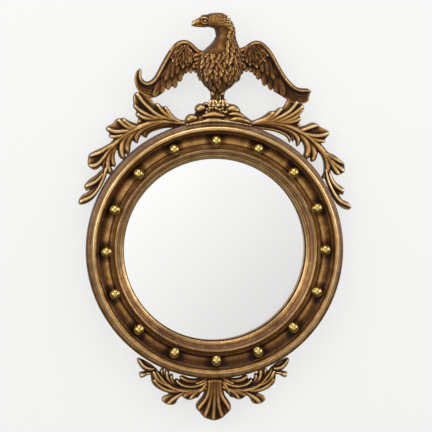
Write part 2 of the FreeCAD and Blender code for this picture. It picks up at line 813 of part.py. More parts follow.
apron_side = [
    ([(3, -2), (5, 6), (9, 8), (15, 4)], [10, 14, 14, 8]),
    ([(4, 14), (9, 25), (15, 29), (21, 25), (25, 14), (27, 4)], [8, 14, 14, 14, 12, 8]),
    ([(12, 27), (18, 35), (24, 33)], [9, 17, 9]),
    ([(16, 27), (22, 28), (26, 20)], [9, 16, 9]),
    ([(8, 24), (13, 34), (16.5, 47), (17.4, 60)], [8, 15, 19, 14]),
    ([(6, 22), (9.4, 34), (11.8, 48)], [8, 17, 9]),
    ([(5.5, 20), (7.6, 30), (9.2, 42)], [6, 11, 7]),
    ([(3, 8), (9, 18), (14, 18), (17, 9)], [6, 9, 9, 7]),
    ([(16, 24), (20, 16), (21.5, -2)], [8, 12, 12]),
    ([(19, 22), (23, 14), (24.6, 2)], [8, 11, 8]),
    ([(22, 11), (29, 11), (34.6, 8)], [10, 18, 10]),
    ([(25, 14), (28.5, 23), (31, 31)], [7, 10, 8]),
]
shell_flutes = [
    ([(0, -3), (-0.3, 30), (-0.8, 79)], [12, 18, 15]),
    ([(-0.8, 3), (-3.4, 40), (-5.7, 63)], [8, 17, 10]),
    ([(0.8, 3), (3.0, 40), (4.4, 65)], [8, 17, 10]),
    ([(-0.4, 3), (-2.0, 42), (-3.7, 74)], [6, 14, 10]),
    ([(0.4, 3), (1.5, 42), (2.5, 74)], [6, 14, 10]),
    ([(-1.2, 2), (-4.0, 16), (-6.4, 30)], [6, 9, 6]),
    ([(1.2, 2), (4.2, 16), (6.2, 33)], [6, 9, 6]),
]


def crest_spray(lobes, mirror, below):
    body = carving(lobes, crest_unit, mirror=mirror)
    return body.cut(Part.makeCompound(crest_dowel_list(turning_gap) + below)).removeSplitter()


def apron_spray(mirror, reach, below):
    body = carving(apron_side, apron_unit, foot=True, mirror=mirror, reach=reach)
    return body.cut(Part.makeCompound(apron_dowel_list(turning_gap) + below)).removeSplitter()


def apron_shell():
    edge = leaf_edge + shell_extra_depth
    crest = leaf_crest + shell_extra_depth
    body = carving(shell_flutes, apron_unit, foot=True, crest=crest, edge=edge)
    return body.cut(Part.makeCompound(apron_dowel_list(turning_gap))).removeSplitter()


# ---------------------------------------------------------------- build
os.makedirs("parts", exist_ok=True)
save("frame_ring", frame_ring())
save("inner_slip", inner_slip())
save("mirror_glass", mirror_glass())
save("glass_spacer", glass_spacer())
save("backboard", backboard())
save("brass_balls", *[brass_ball(k) for k in range(ball_count)])
for number, angle in enumerate(button_angles(), 1):
    save("turn_button_%d" % number, turn_button(angle))
save("turn_button_screws", *[button_screw(a) for a in button_angles()])
for side, hand in ((-1, "left"), (1, "right")):
    save("hanger_strap_" + hand, hanger_strap(side))
    save("hanger_ring_" + hand, hanger_ring(side))
save("hanger_screws", *[hanger_screw(p) for side in (-1, 1) for p in strap_holes(side)])
rock = rock_plinth()
eagle = eagle_body()
save("rock_plinth", rock)
save("eagle_body", eagle)
wing_holes = Part.makeCompound(wing_dowel_list(turning_gap))
wing_left = eagle_wing(left_wing_spans, left_wing_feathers, eagle, wing_holes)
wing_right = eagle_wing(right_wing_spans, right_wing_feathers, eagle, wing_holes)
save("eagle_wing_left", wing_left)
save("eagle_wing_right", wing_right)
save("crest_spray_left", crest_spray(crest_left, -1, [rock, wing_left]))
save("crest_spray_right", crest_spray(crest_right, 1, [rock, wing_right]))
shell = apron_shell()
save("apron_shell", shell)
save("apron_spray_left", apron_spray(-1, 1.0, [shell]))
save("apron_spray_right", apron_spray(1, apron_right_reach, [shell]))
save("crest_spray_dowels", *crest_dowel_list())
save("apron_dowels", *apron_dowel_list())
save("plinth_dowels", *plinth_dowel_list())
save("leg_dowels", *leg_dowel_list())
save("wing_dowels", *wing_dowel_list())
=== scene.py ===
import bpy
import bmesh
import math
import numpy as np
from mathutils import Matrix, Vector


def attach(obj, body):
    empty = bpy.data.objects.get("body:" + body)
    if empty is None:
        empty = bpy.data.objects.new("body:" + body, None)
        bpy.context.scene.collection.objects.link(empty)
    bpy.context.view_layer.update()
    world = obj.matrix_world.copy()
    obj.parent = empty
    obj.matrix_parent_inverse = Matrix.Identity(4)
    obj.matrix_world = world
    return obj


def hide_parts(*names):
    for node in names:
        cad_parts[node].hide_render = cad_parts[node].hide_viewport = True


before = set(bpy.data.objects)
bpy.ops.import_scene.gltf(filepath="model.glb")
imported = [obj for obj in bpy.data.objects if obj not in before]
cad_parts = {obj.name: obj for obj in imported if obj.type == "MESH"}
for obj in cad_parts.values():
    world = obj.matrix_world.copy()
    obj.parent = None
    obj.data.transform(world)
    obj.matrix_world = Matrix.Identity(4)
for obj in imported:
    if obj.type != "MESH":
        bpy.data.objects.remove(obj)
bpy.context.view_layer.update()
bodyFrame = "frame"
mm = 0.001
ballCount = 16  # round the cove; the finish paints shade round each
print("frame loaded:", len(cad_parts), "nodes")


# shader sums written as Python

class Signal:  # one shader socket, good for sums with numbers and other signals
    def __init__(self, sheet, socket):
        self.sheet = sheet
        self.socket = socket

    def math(self, operation, *values, clamp=False):
        sockets = {index: value for index, value in enumerate(values)}
        return self.sheet.node("Math", {"operation": operation, "use_clamp": clamp}, sockets)

    def __add__(self, other):
        return self.math("ADD", self, other)

    def __sub__(self, other):
        return self.math("SUBTRACT", self, other)

    def __rsub__(self, other):
        return self.math("SUBTRACT", other, self)

    def __mul__(self, other):
        return self.math("MULTIPLY", self, other)

    def __truediv__(self, other):
        return self.math("DIVIDE", self, other)

    def __pow__(self, other):
        return self.math("POWER", self, other)

    __radd__ = __add__
    __rmul__ = __mul__

    def clamped(self):
        return self.math("ADD", self, 0.0, clamp=True)

    def between(self, low, high):  # 0 below low, 1 above high, smooth in between
        settings = {"interpolation_type": "SMOOTHSTEP"}
        return self.sheet.node("MapRange", settings, {"Value": self, "From Min": low, "From Max": high})


class Sheet:  # the node tree of one material, or of the world
    def __init__(self, holder):
        holder.use_nodes = True
        self.holder = holder
        self.tree = holder.node_tree
        self.tree.nodes.clear()

    def node(self, kind, settings=None, sockets=None, out=0):
        made = self.tree.nodes.new("ShaderNode" + kind)
        for key, value in (settings or {}).items():
            if key == "stops":
                ramp = made.color_ramp
                while len(ramp.elements) < len(value):
                    ramp.elements.new(0.5)
                for element, (place, colour) in zip(ramp.elements, value):
                    element.position = place
                    element.color = (*colour, 1.0)
            else:
                setattr(made, key, value)
        for key, value in (sockets or {}).items():
            if isinstance(value, Signal):
                self.tree.links.new(value.socket, made.inputs[key])
            elif value is not None:
                made.inputs[key].default_value = value
        return Signal(self, made.outputs[out])

    def mix(self, factor, first, second, blend="MIX"):
        settings = {"data_type": "RGBA", "blend_type": blend}
        colours = [c if isinstance(c, Signal) else (*c, 1.0) for c in (first, second)]
        return self.node("Mix", settings, {0: factor, 6: colours[0], 7: colours[1]}, out=2)

    def noise(self, vector, scale, detail=3.0, rough=0.55):
        sockets = {"Vector": vector, "Scale": scale, "Detail": detail, "Roughness": rough}
        return self.node("TexNoise", None, sockets)

    def finish(self, shader, kind="OutputMaterial"):
        last = self.tree.nodes.new("ShaderNode" + kind)
        self.tree.links.new(shader.socket, last.inputs["Surface"])
        return self.holder


# finishes

patinaAndPaintedLight = {  # how strongly each kind of wear, painted shade and painted sheen shows; the mouldings' places are metres from the middle
    # the ball and low-inside amounts paint shade; the side and outer-step amounts paint sheen
    "mottle": 0.42, "grain": 0.16, "turning": 0.30, "shadeRoundBall": 0.24, "shadeLowInside": 0.13,
    "side": 0.60, "outerStepSheen": 0.40,
    "cove": (0.195, 0.200, 0.214, 0.220), "inside": (0.205, 0.222), "outerStep": (0.2335, 0.236),
    # the two tints are the colours of that painted sheen
    "sideSheenTint": (0.150, 0.104, 0.092), "outerStepSheenTint": (0.26, 0.20, 0.18),
    "stops": [
        (0.00, (0.004, 0.0018, 0.001)),
        (0.26, (0.022, 0.008, 0.0025)),
        (0.44, (0.110, 0.043, 0.010)),
        (0.60, (0.290, 0.133, 0.032)),
        (0.78, (0.600, 0.345, 0.110)),
        (1.00, (0.880, 0.660, 0.350)),
    ],
}


def giltFinish(name, gold=0.0, turned=False):  # gold makes a piece more rubbed; the far wing's lower gold paints shade
    sheet = Sheet(bpy.data.materials.new(name))
    place = sheet.node("TexCoord", None, None, out="Object")
    normal = sheet.node("TexCoord", None, None, out="Normal")
    relief = sheet.node("Attribute", {"attribute_name": "relief"}, None, out="Fac")
    mottle = sheet.noise(place, 55.0, 4.0, 0.6)
    grain = sheet.noise(place, 420.0, 2.0, 0.5)
    # rub wear and patina, with painted highlight and painted shade mixed in
    wearAndPaintedLight = relief + (mottle - 0.5) * patinaAndPaintedLight["mottle"] + (grain - 0.5) * patinaAndPaintedLight["grain"] + gold
    if turned:  # rubbed along the turning; painted shade low down inside the rim and round each ball
        x = sheet.node("SeparateXYZ", None, {0: place}, out="X")
        z = sheet.node("SeparateXYZ", None, {0: place}, out="Z")
        radius = (x * x + z * z) ** 0.5
        around = sheet.node("CombineXYZ", None, {
            "X": radius * 900.0, "Y": x / radius * 2.2, "Z": z / radius * 2.2,
        })
        wearAndPaintedLight = wearAndPaintedLight + (sheet.noise(around, 1.0, 2.0, 0.5) - 0.5) * patinaAndPaintedLight["turning"]
        ballSteps = sheet.node("Math", {"operation": "ARCTAN2"}, {0: x, 1: z}) * (ballCount / (2 * math.pi))
        apart = sheet.node("Math", {"operation": "PINGPONG"}, {0: ballSteps, 1: 0.5})
        inner, floor, rise, outer = patinaAndPaintedLight["cove"]
        inCove = radius.between(inner, floor) * (1.0 - radius.between(rise, outer))
        # painted shade round each ball in the cove
        wearAndPaintedLight = wearAndPaintedLight - (1.0 - apart.between(0.14, 0.30)) * inCove * patinaAndPaintedLight["shadeRoundBall"]
        inside = 1.0 - radius.between(*patinaAndPaintedLight["inside"])
        # painted shade low down inside the rim
        wearAndPaintedLight = wearAndPaintedLight - (z * -1.0).between(0.04, 0.19) * inside * patinaAndPaintedLight["shadeLowInside"]
        # painted sheen on the outer step, stronger towards the top
        topSheenOnOuterStep = radius.between(*patinaAndPaintedLight["outerStep"]) * (z * 4.0 + 0.5).clamped()
    colour = sheet.node("ValToRGB", {"stops": patinaAndPaintedLight["stops"]}, {"Fac": wearAndPaintedLight})
    # painted sheen: surfaces turned away from the front take a grey-violet reflection tint
    front = sheet.node("SeparateXYZ", None, {0: normal}, out="Y") * -1.0
    colour = sheet.mix((1.0 - front.between(0.20, 0.95)) * patinaAndPaintedLight["side"], colour, patinaAndPaintedLight["sideSheenTint"])
    if turned:
        colour = sheet.mix(topSheenOnOuterStep * patinaAndPaintedLight["outerStepSheen"], colour, patinaAndPaintedLight["outerStepSheenTint"])
    metal = wearAndPaintedLight.between(0.2, 0.8) * 0.45 + 0.45
    rough = 0.50 - wearAndPaintedLight.between(0.2, 0.9) * 0.20 + (grain - 0.5) * 0.10
    bump = sheet.node("Bump", None, {
        "Strength": 0.25, "Distance": 0.0004, "Height": mottle * 0.6 + grain * 0.4,
    })
    shader = sheet.node("BsdfPrincipled", None, {
        "Base Color": colour, "Metallic": metal, "Roughness": rough, "Normal": bump,
        "Specular IOR Level": 0.2, "Coat Weight": wearAndPaintedLight.between(0.35, 0.9) * 0.3, "Coat Roughness": 0.22,
    })
    return sheet.finish(shader)


def brassFinish():
    sheet = Sheet(bpy.data.materials.new("polishedBrass"))
    place = sheet.node("TexCoord", None, None, out="Object")
    cloud = sheet.noise(place, 130.0, 3.0, 0.5)
    colour = sheet.mix(cloud, (0.50, 0.33, 0.08), (0.62, 0.45, 0.15))
    shader = sheet.node("BsdfPrincipled", None, {
        "Base Color": colour, "Metallic": 1.0, "Roughness": cloud * 0.10 + 0.14,
    })
    return sheet.finish(shader)


def glassFinish():
    sheet = Sheet(bpy.data.materials.new("silveredGlass"))
    place = sheet.node("TexCoord", None, None, out="Object")
    cloud = sheet.noise(place, 6.0, 2.0, 0.5)
    colour = sheet.mix(cloud, (0.955, 0.955, 0.950), (0.975, 0.975, 0.970))
    shader = sheet.node("BsdfPrincipled", None, {
        "Base Color": colour, "Metallic": 1.0, "Roughness": 0.02,
    })
    return sheet.finish(shader)


def steelFinish(name, tint):
    sheet = Sheet(bpy.data.materials.new(name))
    place = sheet.node("TexCoord", None, None, out="Object")
    cloud = sheet.noise(place, 300.0, 3.0, 0.6)
    colour = sheet.mix(cloud, [c * 0.75 for c in tint], tint)
    shader = sheet.node("BsdfPrincipled", None, {
        "Base Color": colour, "Metallic": 0.95, "Roughness": cloud * 0.2 + 0.25,
    })
    return sheet.finish(shader)


def boardFinish(name, light, dark, fibre):
    sheet = Sheet(bpy.data.materials.new(name))
    place = sheet.node("TexCoord", None, None, out="Object")
    stretched = sheet.node("Mapping", None, {"Vector": place, "Scale": fibre})
    cloud = sheet.noise(stretched, 60.0, 5.0, 0.6)
    speck = sheet.noise(place, 900.0, 2.0, 0.5)
    colour = sheet.mix((cloud * 0.7 + speck * 0.3).between(0.3, 0.7), dark, light)
    bump = sheet.node("Bump", None, {"Strength": 0.3, "Distance": 0.0003, "Height": speck})
    shader = sheet.node("BsdfPrincipled", None, {
        "Base Color": colour, "Roughness": cloud * 0.15 + 0.68, "Normal": bump,
    })
    return sheet.finish(shader)


gilt = giltFinish("giltCarving", gold=-0.05)
giltLeaf = giltFinish("giltLeaves", gold=0.02)
giltApron = giltFinish("giltApron", gold=-0.04)
# the far wing's copy is set darker than the near wing's: painted shade
giltNearWing = giltFinish("giltNearWing", gold=-0.08)
giltFarWing = giltFinish("giltFarWing", gold=-0.13)
giltTurned = giltFinish("giltTurning", turned=True)
brass = brassFinish()
silvered = glassFinish()
steel = steelFinish("zincSteel", (0.52, 0.52, 0.50))
buttonBrass = steelFinish("dullBrass", (0.60, 0.45, 0.20))
board = boardFinish("hardboard", (0.36, 0.22, 0.11), (0.24, 0.14, 0.07), (1.0, 1.0, 1.0))
paper = boardFinish("packingCard", (0.55, 0.50, 0.42), (0.46, 0.41, 0.33), (1.0, 1.0, 1.0))
peg = boardFinish("dowelWood", (0.62, 0.45, 0.26), (0.50, 0.34, 0.18), (1.0, 1.0, 0.15))
print("finishes made")


# common shaping

def addObject(name, data):
    made = bpy.data.objects.new(name, data)
    bpy.context.scene.collection.objects.link(made)
    return made


def smoothRoute(points, count):  # natural cubic spline through the points
    points = np.asarray(points, float)
    steps = np.r_[0.0, np.cumsum(np.linalg.norm(np.diff(points, axis=0), axis=1))]
    steps /= steps[-1]
    wanted = np.linspace(0.0, 1.0, count)
    if len(points) == 2:
        return points[0] + (points[1] - points[0]) * wanted[:, None]
    size = len(points)
    gaps = np.diff(steps)
    left = np.zeros((size, size))
    right = np.zeros((size, points.shape[1]))
    left[0, 0] = left[-1, -1] = 1.0
    for k in range(1, size - 1):
        left[k, k - 1:k + 2] = gaps[k - 1], 2 * (gaps[k - 1] + gaps[k]), gaps[k]
        right[k] = 6 * ((points[k + 1] - points[k]) / gaps[k] - (points[k] - points[k - 1]) / gaps[k - 1])
    bend = np.linalg.solve(left, right)
    out = []
    for w in wanted:
        k = min(int(np.searchsorted(steps, w, side="right")) - 1, size - 2)
        h, a, b = gaps[k], steps[k + 1] - w, w - steps[k]
        out.append(bend[k] * a ** 3 / (6 * h) + bend[k + 1] * b ** 3 / (6 * h)
                   + (points[k] / h - bend[k] * h / 6) * a + (points[k + 1] / h - bend[k + 1] * h / 6) * b)
    return np.array(out)


def onRing(angle, height, foot=False):  # degrees from the top (or the foot), mm above the ring
    turn = math.radians(angle)
    reach = ring["radius"] + height
    return reach * math.sin(turn), (-1 if foot else 1) * reach * math.cos(turn)


def nearestOnLine(spots, line, closed):
    best = np.full(len(spots), 1e9)
    near = np.zeros_like(spots)
    ends = np.roll(line, -1, axis=0) if closed else line[1:]
    for start, end in zip(line, ends):
        run = end - start
        share = np.clip(((spots - start) @ run) / max(run @ run, 1e-12), 0, 1)
        foot = start + share[:, None] * run
        gap = np.linalg.norm(spots - foot, axis=1)
        closer = gap < best
        best[closer] = gap[closer]
        near[closer] = foot[closer]
    return near, best


class Carving:  # gathers closed shells in mm, then fuses them into one carved piece
    def __init__(self):
        self.points = []
        self.faces = []

    def rings(self, rows):  # closed shell through rows of equal outlines
        start = len(self.points)
        count = len(rows[0])
        for row in rows:
            self.points.extend(tuple(p) for p in row)
        for r in range(len(rows) - 1):
            for i in range(count):
                j = (i + 1) % count
                a = start + r * count
                self.faces.append((a + i, a + j, a + count + j, a + count + i))
        self.faces.append(tuple(start + i for i in range(count))[::-1])
        last = start + (len(rows) - 1) * count
        self.faces.append(tuple(last + i for i in range(count)))

    def lobe(self, route, widths, section, back, proud, lift=(0, 0), tip=0.16, base=0.0, count=30):
        middle = smoothRoute(route, count)
        share = np.linspace(0.0, 1.0, count)
        half = np.interp(share, np.linspace(0, 1, len(widths)), widths) / 2
        rounding = np.sqrt(np.clip(1 - (np.clip(share - (1 - tip), 0, None) / tip) ** 2, 0.003, 1))
        if base:
            rounding *= np.sqrt(np.clip(1 - (np.clip(base - share, 0, None) / base) ** 2, 0.02, 1))
        ahead = np.gradient(middle, axis=0)
        ahead /= np.linalg.norm(ahead, axis=1)[:, None]
        across = np.c_[ahead[:, 1], -ahead[:, 0]]
        raised = np.interp(share, np.linspace(0, 1, len(lift)), lift)
        swell = 0.86 + 0.14 * np.sin(np.pi * (0.1 + 0.8 * share))
        rows = []
        for k in range(count):
            row = []
            for u, h in section:
                spot = middle[k] + across[k] * (half[k] * u * rounding[k])
                top = proud * swell[k] * (0.45 + 0.55 * rounding[k])
                row.append((spot[0], -(back + h * top + raised[k]), spot[1]))
            rows.append(row)
        self.rings(rows)

    def blade(self, outline, ribs, shape, deeper=0.0):  # a flat-backed leaf with ribs and hollows between
        cell, back = shape["cell"], shape["back"]
        rim = np.asarray(outline, float)
        for step in range(2):
            ahead = np.roll(rim, -1, axis=0)
            rim = np.stack([rim * 0.75 + ahead * 0.25, rim * 0.25 + ahead * 0.75], axis=1).reshape(-1, 2)
        low, high = rim.min(0) - 2 * cell, rim.max(0) + 2 * cell
        columns, rows = (np.ceil((high - low) / cell)).astype(int) + 1
        across, up = low[0] + cell * np.arange(columns), low[1] + cell * np.arange(rows)
        spots = np.stack(np.meshgrid(across, up, indexing="ij"), axis=-1).reshape(-1, 2)
        near, gap = nearestOnLine(spots, rim, True)
        inside = np.zeros(len(spots), bool)
        ahead = np.roll(rim, -1, axis=0)
        for (x0, z0), (x1, z1) in zip(rim, ahead):
            crosses = (z0 > spots[:, 1]) != (z1 > spots[:, 1])
            if z1 != z0:
                inside ^= crosses & (spots[:, 0] < (x1 - x0) * (spots[:, 1] - z0) / (z1 - z0) + x0)
        depth = np.where(inside, gap, -gap)
        active = depth > -0.55 * cell
        snapped = active & (np.abs(depth) < 0.55 * cell)
        spots[snapped] = near[snapped]
        depth = np.clip(np.where(snapped, 0.0, depth), 0.0, None)
        away = np.full(len(spots), 50.0)
        for rib in ribs:
            away = np.minimum(away, nearestOnLine(spots, smoothRoute(rib, 24), False)[1])
        share = np.clip(depth / shape["shoulder"], 0, 1)
        front = shape["edge"] + deeper + shape["dome"] * np.sqrt(1 - (1 - share) ** 2)
        ridge = np.exp(-(away / shape["ribHalf"]) ** 4)
        front += shape["rib"] * ridge * np.clip(depth / 1.5, 0.35, 1)
        front -= shape["flute"] * (1 - ridge) * np.clip(depth / 3.0, 0, 1)
        front += shape["lip"] * np.exp(-((depth - shape["lipWidth"]) / shape["lipWidth"]) ** 2)
        index = np.full(len(spots), -1)
        index[active] = np.arange(active.sum())
        start, layer = len(self.points), int(active.sum())
        kept = spots[active]
        self.points.extend((x, -(back + f), z) for (x, z), f in zip(kept, front[active]))
        self.points.extend((x, -back, z) for x, z in kept)
        grid = index.reshape(columns, rows)
        used = {}
        for i in range(columns - 1):
            for j in range(rows - 1):
                square = grid[i, j], grid[i + 1, j], grid[i + 1, j + 1], grid[i, j + 1]
                corners = [c for c in square if c >= 0]
                if len(corners) < 3:
                    continue
                self.faces.append(tuple(start + c for c in corners))
                self.faces.append(tuple(start + layer + c for c in reversed(corners)))
                for a, b in zip(corners, corners[1:] + corners[:1]):
                    if (b, a) in used:
                        del used[(b, a)]
                    else:
                        used[(a, b)] = True
        for a, b in used:
            self.faces.append((start + b, start + a, start + layer + a, start + layer + b))

    def object(self, name):
        mesh = bpy.data.meshes.new(name)
        mesh.from_pydata([(x * mm, y * mm, z * mm) for x, y, z in self.points], [], self.faces)
        work = bmesh.new()
        work.from_mesh(mesh)
        bmesh.ops.recalc_face_normals(work, faces=work.faces)
        work.to_mesh(mesh)
        work.free()
        return addObject(name, mesh)


plumpSection = [
    (-0.75, 0.0), (-1.0, 0.2), (-0.98, 0.45), (-0.82, 0.72), (-0.55, 0.9), (-0.25, 0.98), (0.0, 1.0),
    (0.25, 0.98), (0.55, 0.9), (0.82, 0.72), (0.98, 0.45), (1.0, 0.2), (0.75, 0.0),
]


def applyModifiers(thing):
    graph = bpy.context.evaluated_depsgraph_get()
    mesh = bpy.data.meshes.new_from_object(thing.evaluated_get(graph), depsgraph=graph)
    mesh.name = thing.name
    thing.modifiers.clear()
    thing.data = mesh
    return thing


def reliefAttribute(mesh, rounds, gain):  # ridges above 0.5, hollows below
    count = len(mesh.vertices)
    spots = np.empty(count * 3)
    mesh.vertices.foreach_get("co", spots)
    spots = spots.reshape(-1, 3)
    normals = np.empty(count * 3)
    mesh.vertices.foreach_get("normal", normals)
    normals = normals.reshape(-1, 3)
    ends = np.empty(len(mesh.edges) * 2, dtype=np.int64)
    mesh.edges.foreach_get("vertices", ends)
    a, b = ends.reshape(-1, 2).T
    links = np.maximum(np.bincount(a, minlength=count) + np.bincount(b, minlength=count), 1)
    soft = spots.copy()
    total = np.zeros(count)

    def neighbours(values):
        return (np.bincount(a, values[b], count) + np.bincount(b, values[a], count)) / links

    for step in range(max(rounds)):
        pulled = np.stack([neighbours(soft[:, axis]) for axis in range(3)], axis=1)
        soft = soft * 0.4 + pulled * 0.6
        if step + 1 in rounds:
            total += np.einsum("ij,ij->i", spots - soft, normals) * gain[rounds.index(step + 1)]
    for step in range(2):
        total = total * 0.4 + neighbours(total) * 0.6
    made = mesh.attributes.get("relief") or mesh.attributes.new("relief", "FLOAT", "POINT")
    made.data.foreach_set("value", np.clip(0.5 + total, 0.0, 1.0).astype(np.float32))


rubbing = {"rounds": (8, 40, 160), "gain": (380.0, 270.0, 70.0)}  # fine, middling and broad hollows


def fuse(made, voxel, gain=rubbing["gain"], smoothing=3, cutter=None, solver="FAST"):
    remesh = made.modifiers.new("fuse", "REMESH")
    remesh.mode = "VOXEL"
    remesh.voxel_size = voxel * mm
    smooth = made.modifiers.new("rub", "SMOOTH")
    smooth.factor = 0.5
    smooth.iterations = smoothing
    applyModifiers(made)
    if cutter is not None:
        cut = made.modifiers.new("seat", "BOOLEAN")
        cut.operation = "DIFFERENCE"
        cut.solver = solver
        cut.object = cutter
        applyModifiers(made)
    for poly in made.data.polygons:
        poly.use_smooth = True
    reliefAttribute(made.data, rubbing["rounds"], gain)
    print(made.name, len(made.data.polygons), "faces")
    return made


def place(made, material, slot, replaced):
    made.data.materials.clear()
    made.data.materials.append(material)
    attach(made, bodyFrame)
    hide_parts(*replaced)
    return made


# turned ring and slip, swept round a circle by geometry nodes

ring = {
    "radius": 240.5, "guide": 0.2, "segments": 288,
    "profile": [  # radius, height from the wall, in mm
        (178.3, 9.0), (178.3, 23.0), (192.3, 23.0), (192.3, 39.2), (192.6, 39.4), (193.4, 39.4),
        (194.0, 40.6), (195.0, 41.0), (196.4, 41.1), (197.6, 40.6), (198.4, 39.4), (198.9, 38.6),
        (199.4, 38.0), (200.3, 36.6), (201.6, 36.0), (204.8, 35.8), (208.0, 36.0), (210.5, 36.4),
        (213.0, 37.2), (215.2, 38.3), (217.2, 39.7), (218.8, 41.2), (219.6, 41.3), (220.2, 41.6),
        (220.6, 43.4), (221.5, 45.9), (222.8, 47.9), (224.4, 49.3), (225.9, 49.9), (226.9, 49.8),
        (227.3, 49.4), (227.8, 49.8), (229.0, 49.7), (230.4, 48.9), (231.8, 47.2), (232.8, 44.8),
        (233.2, 42.2), (233.4, 39.4), (234.0, 38.4), (235.2, 38.5), (237.0, 38.3), (238.6, 37.5),
        (239.8, 36.2), (240.4, 34.4), (240.5, 30.0), (240.5, 22.0), (240.5, 12.0), (238.8, 6.0),
        (237.0, 1.6), (236.0, 0.3), (235.2, 0.0), (224.0, 0.0), (222.0, 9.0),
    ],
    "gold": [  # radius, how rubbed; the rises on the cove floor near 204 mm and on the rim's outer flank near 231 mm are painted highlights
        (192, 0.56), (194, 0.65), (196, 0.52), (198.4, 0.45), (200, 0.54), (202, 0.66), (204, 0.7),
        (206.5, 0.64), (209, 0.53), (212, 0.44), (215, 0.38), (218, 0.36), (220.5, 0.58), (223, 0.51),
        (225, 0.67), (227, 0.76), (229, 0.86), (231, 0.98), (233, 0.92), (235, 0.54), (238, 0.5),
        (240.5, 0.47),
    ],
}
slip = {
    "profile": [  # radius, height from the wall, in mm
        (171.5, 24.0), (171.6, 25.2), (172.2, 26.2), (173.2, 26.6), (174.2, 27.0), (174.8, 28.6),
        (175.9, 29.8), (177.0, 30.2), (177.8, 30.0), (178.3, 30.6), (178.8, 32.2), (179.8, 33.6),
        (181.0, 34.2), (182.0, 34.2), (182.8, 35.0), (183.4, 36.6), (184.2, 38.4), (184.6, 41.5),
        (185.2, 44.4), (186.2, 46.7), (187.4, 47.8), (188.6, 47.7), (189.8, 46.6), (190.7, 44.6),
        (191.2, 42.4), (191.6, 41.0), (192.2, 41.0), (192.2, 24.0),
    ],
    "gold": [  # radius, how rubbed
        (171.5, 0.82), (174, 0.86), (175, 0.7), (177, 0.74), (178.5, 0.55), (181, 0.65), (183, 0.6),
        (185, 0.82), (187, 0.77), (189, 0.6), (191, 0.58), (192.2, 0.54),
    ],
}


def geometryTree(name, inputs):
    tree = bpy.data.node_groups.new(name, "GeometryNodeTree")
    tree.interface.new_socket(name="Geometry", in_out="INPUT", socket_type="NodeSocketGeometry")
    for label, kind in inputs:
        tree.interface.new_socket(name=label, in_out="INPUT", socket_type="NodeSocket" + kind)
    tree.interface.new_socket(name="Geometry", in_out="OUTPUT", socket_type="NodeSocketGeometry")
    return tree, tree.nodes.new("NodeGroupInput"), tree.nodes.new("NodeGroupOutput")


def geoNode(tree, kind, settings=None, sockets=None):
    made = tree.nodes.new(kind)
    for key, value in (settings or {}).items():
        setattr(made, key, value)
    for key, value in (sockets or {}).items():
        if isinstance(value, bpy.types.NodeSocket):
            tree.links.new(value, made.inputs[key])
        else:
            made.inputs[key].default_value = value
    return made


def runTree(host, tree, values):
    modifier = host.modifiers.new(tree.name, "NODES")
    modifier.node_group = tree
    for item in tree.interface.items_tree:
        if item.in_out == "INPUT" and item.name in values:
            modifier[item.identifier] = values[item.name]
    return applyModifiers(host)


def latheTree():
    tree, start, end = geometryTree("turnedWork", [("Guide Radius", "Float"), ("Segments", "Int"),
                                                   ("Finish", "Material")])
    outline = geoNode(tree, "GeometryNodeMeshToCurve", None, {"Mesh": start.outputs["Geometry"]})
    guide = geoNode(tree, "GeometryNodeCurvePrimitiveCircle", None,
                    {"Resolution": start.outputs["Segments"], "Radius": start.outputs["Guide Radius"]})
    swept = geoNode(tree, "GeometryNodeCurveToMesh", None,
                    {"Curve": guide.outputs["Curve"], "Profile Curve": outline.outputs["Curve"]})
    stood = geoNode(tree, "GeometryNodeTransform", None,
                    {"Geometry": swept.outputs["Mesh"], "Rotation": (-math.pi / 2, 0.0, 0.0)})
    real = geoNode(tree, "GeometryNodeRealizeInstances", None, {"Geometry": stood.outputs["Geometry"]})
    coated = geoNode(tree, "GeometryNodeSetMaterial", None,
                     {"Geometry": real.outputs["Geometry"], "Material": start.outputs["Finish"]})
    tree.links.new(coated.outputs["Geometry"], end.inputs["Geometry"])
    return tree


def turnedPiece(name, shape):
    outline = np.array(shape["profile"], float)
    gold = np.array(shape["gold"])
    fine = []
    for k in range(len(outline)):  # a mid point on each run rounds the shading
        ahead = outline[(k + 1) % len(outline)]
        fine.append(outline[k])
        if np.linalg.norm(ahead - outline[k]) > 2.5:
            fine.append((outline[k] + ahead) / 2)
    fine = np.array(fine)
    mesh = bpy.data.meshes.new(name)
    points = [((r * mm - ring["guide"]), d * mm, 0.0) for r, d in fine]
    count = len(points)
    mesh.from_pydata(points, [(k, (k + 1) % count) for k in range(count)], [])
    made = mesh.attributes.new("relief", "FLOAT", "POINT")
    # the gold table sets the relief: rub, and on the ring painted highlights
    tone = np.where(fine[:, 1] > 23.5, np.interp(fine[:, 0], gold[:, 0], gold[:, 1]), 0.3)
    made.data.foreach_set("value", tone.astype(np.float32))
    host = addObject(name, mesh)
    runTree(host, lathe, {
        "Guide Radius": ring["guide"], "Segments": ring["segments"], "Finish": giltTurned,
    })
    work = bmesh.new()
    work.from_mesh(host.data)
    bmesh.ops.remove_doubles(work, verts=work.verts, dist=1e-6)
    bmesh.ops.recalc_face_normals(work, faces=work.faces)
    work.to_mesh(host.data)
    work.free()
    for poly in host.data.polygons:
        poly.use_smooth = True
    host.data.set_sharp_from_angle(angle=math.radians(50))
    return host


lathe = latheTree()
ringPiece = turnedPiece("turnedRing", ring)
slipPiece = turnedPiece("reededSlip", slip)
place(ringPiece, giltTurned, "gilt_ring", ["frame_ring"])
place(slipPiece, giltTurned, "gilt_slip", ["inner_slip"])
print("ring and slip turned")


# balls in the cove

balls = {
    "count": ballCount, "circle": 204.8, "radius": 10.5, "segments": 40, "rings": 24,
    "centreDepth": 48.5, "seatDepth": 36.1, "neckRadius": 3.2, "neckTop": 6.0,
}


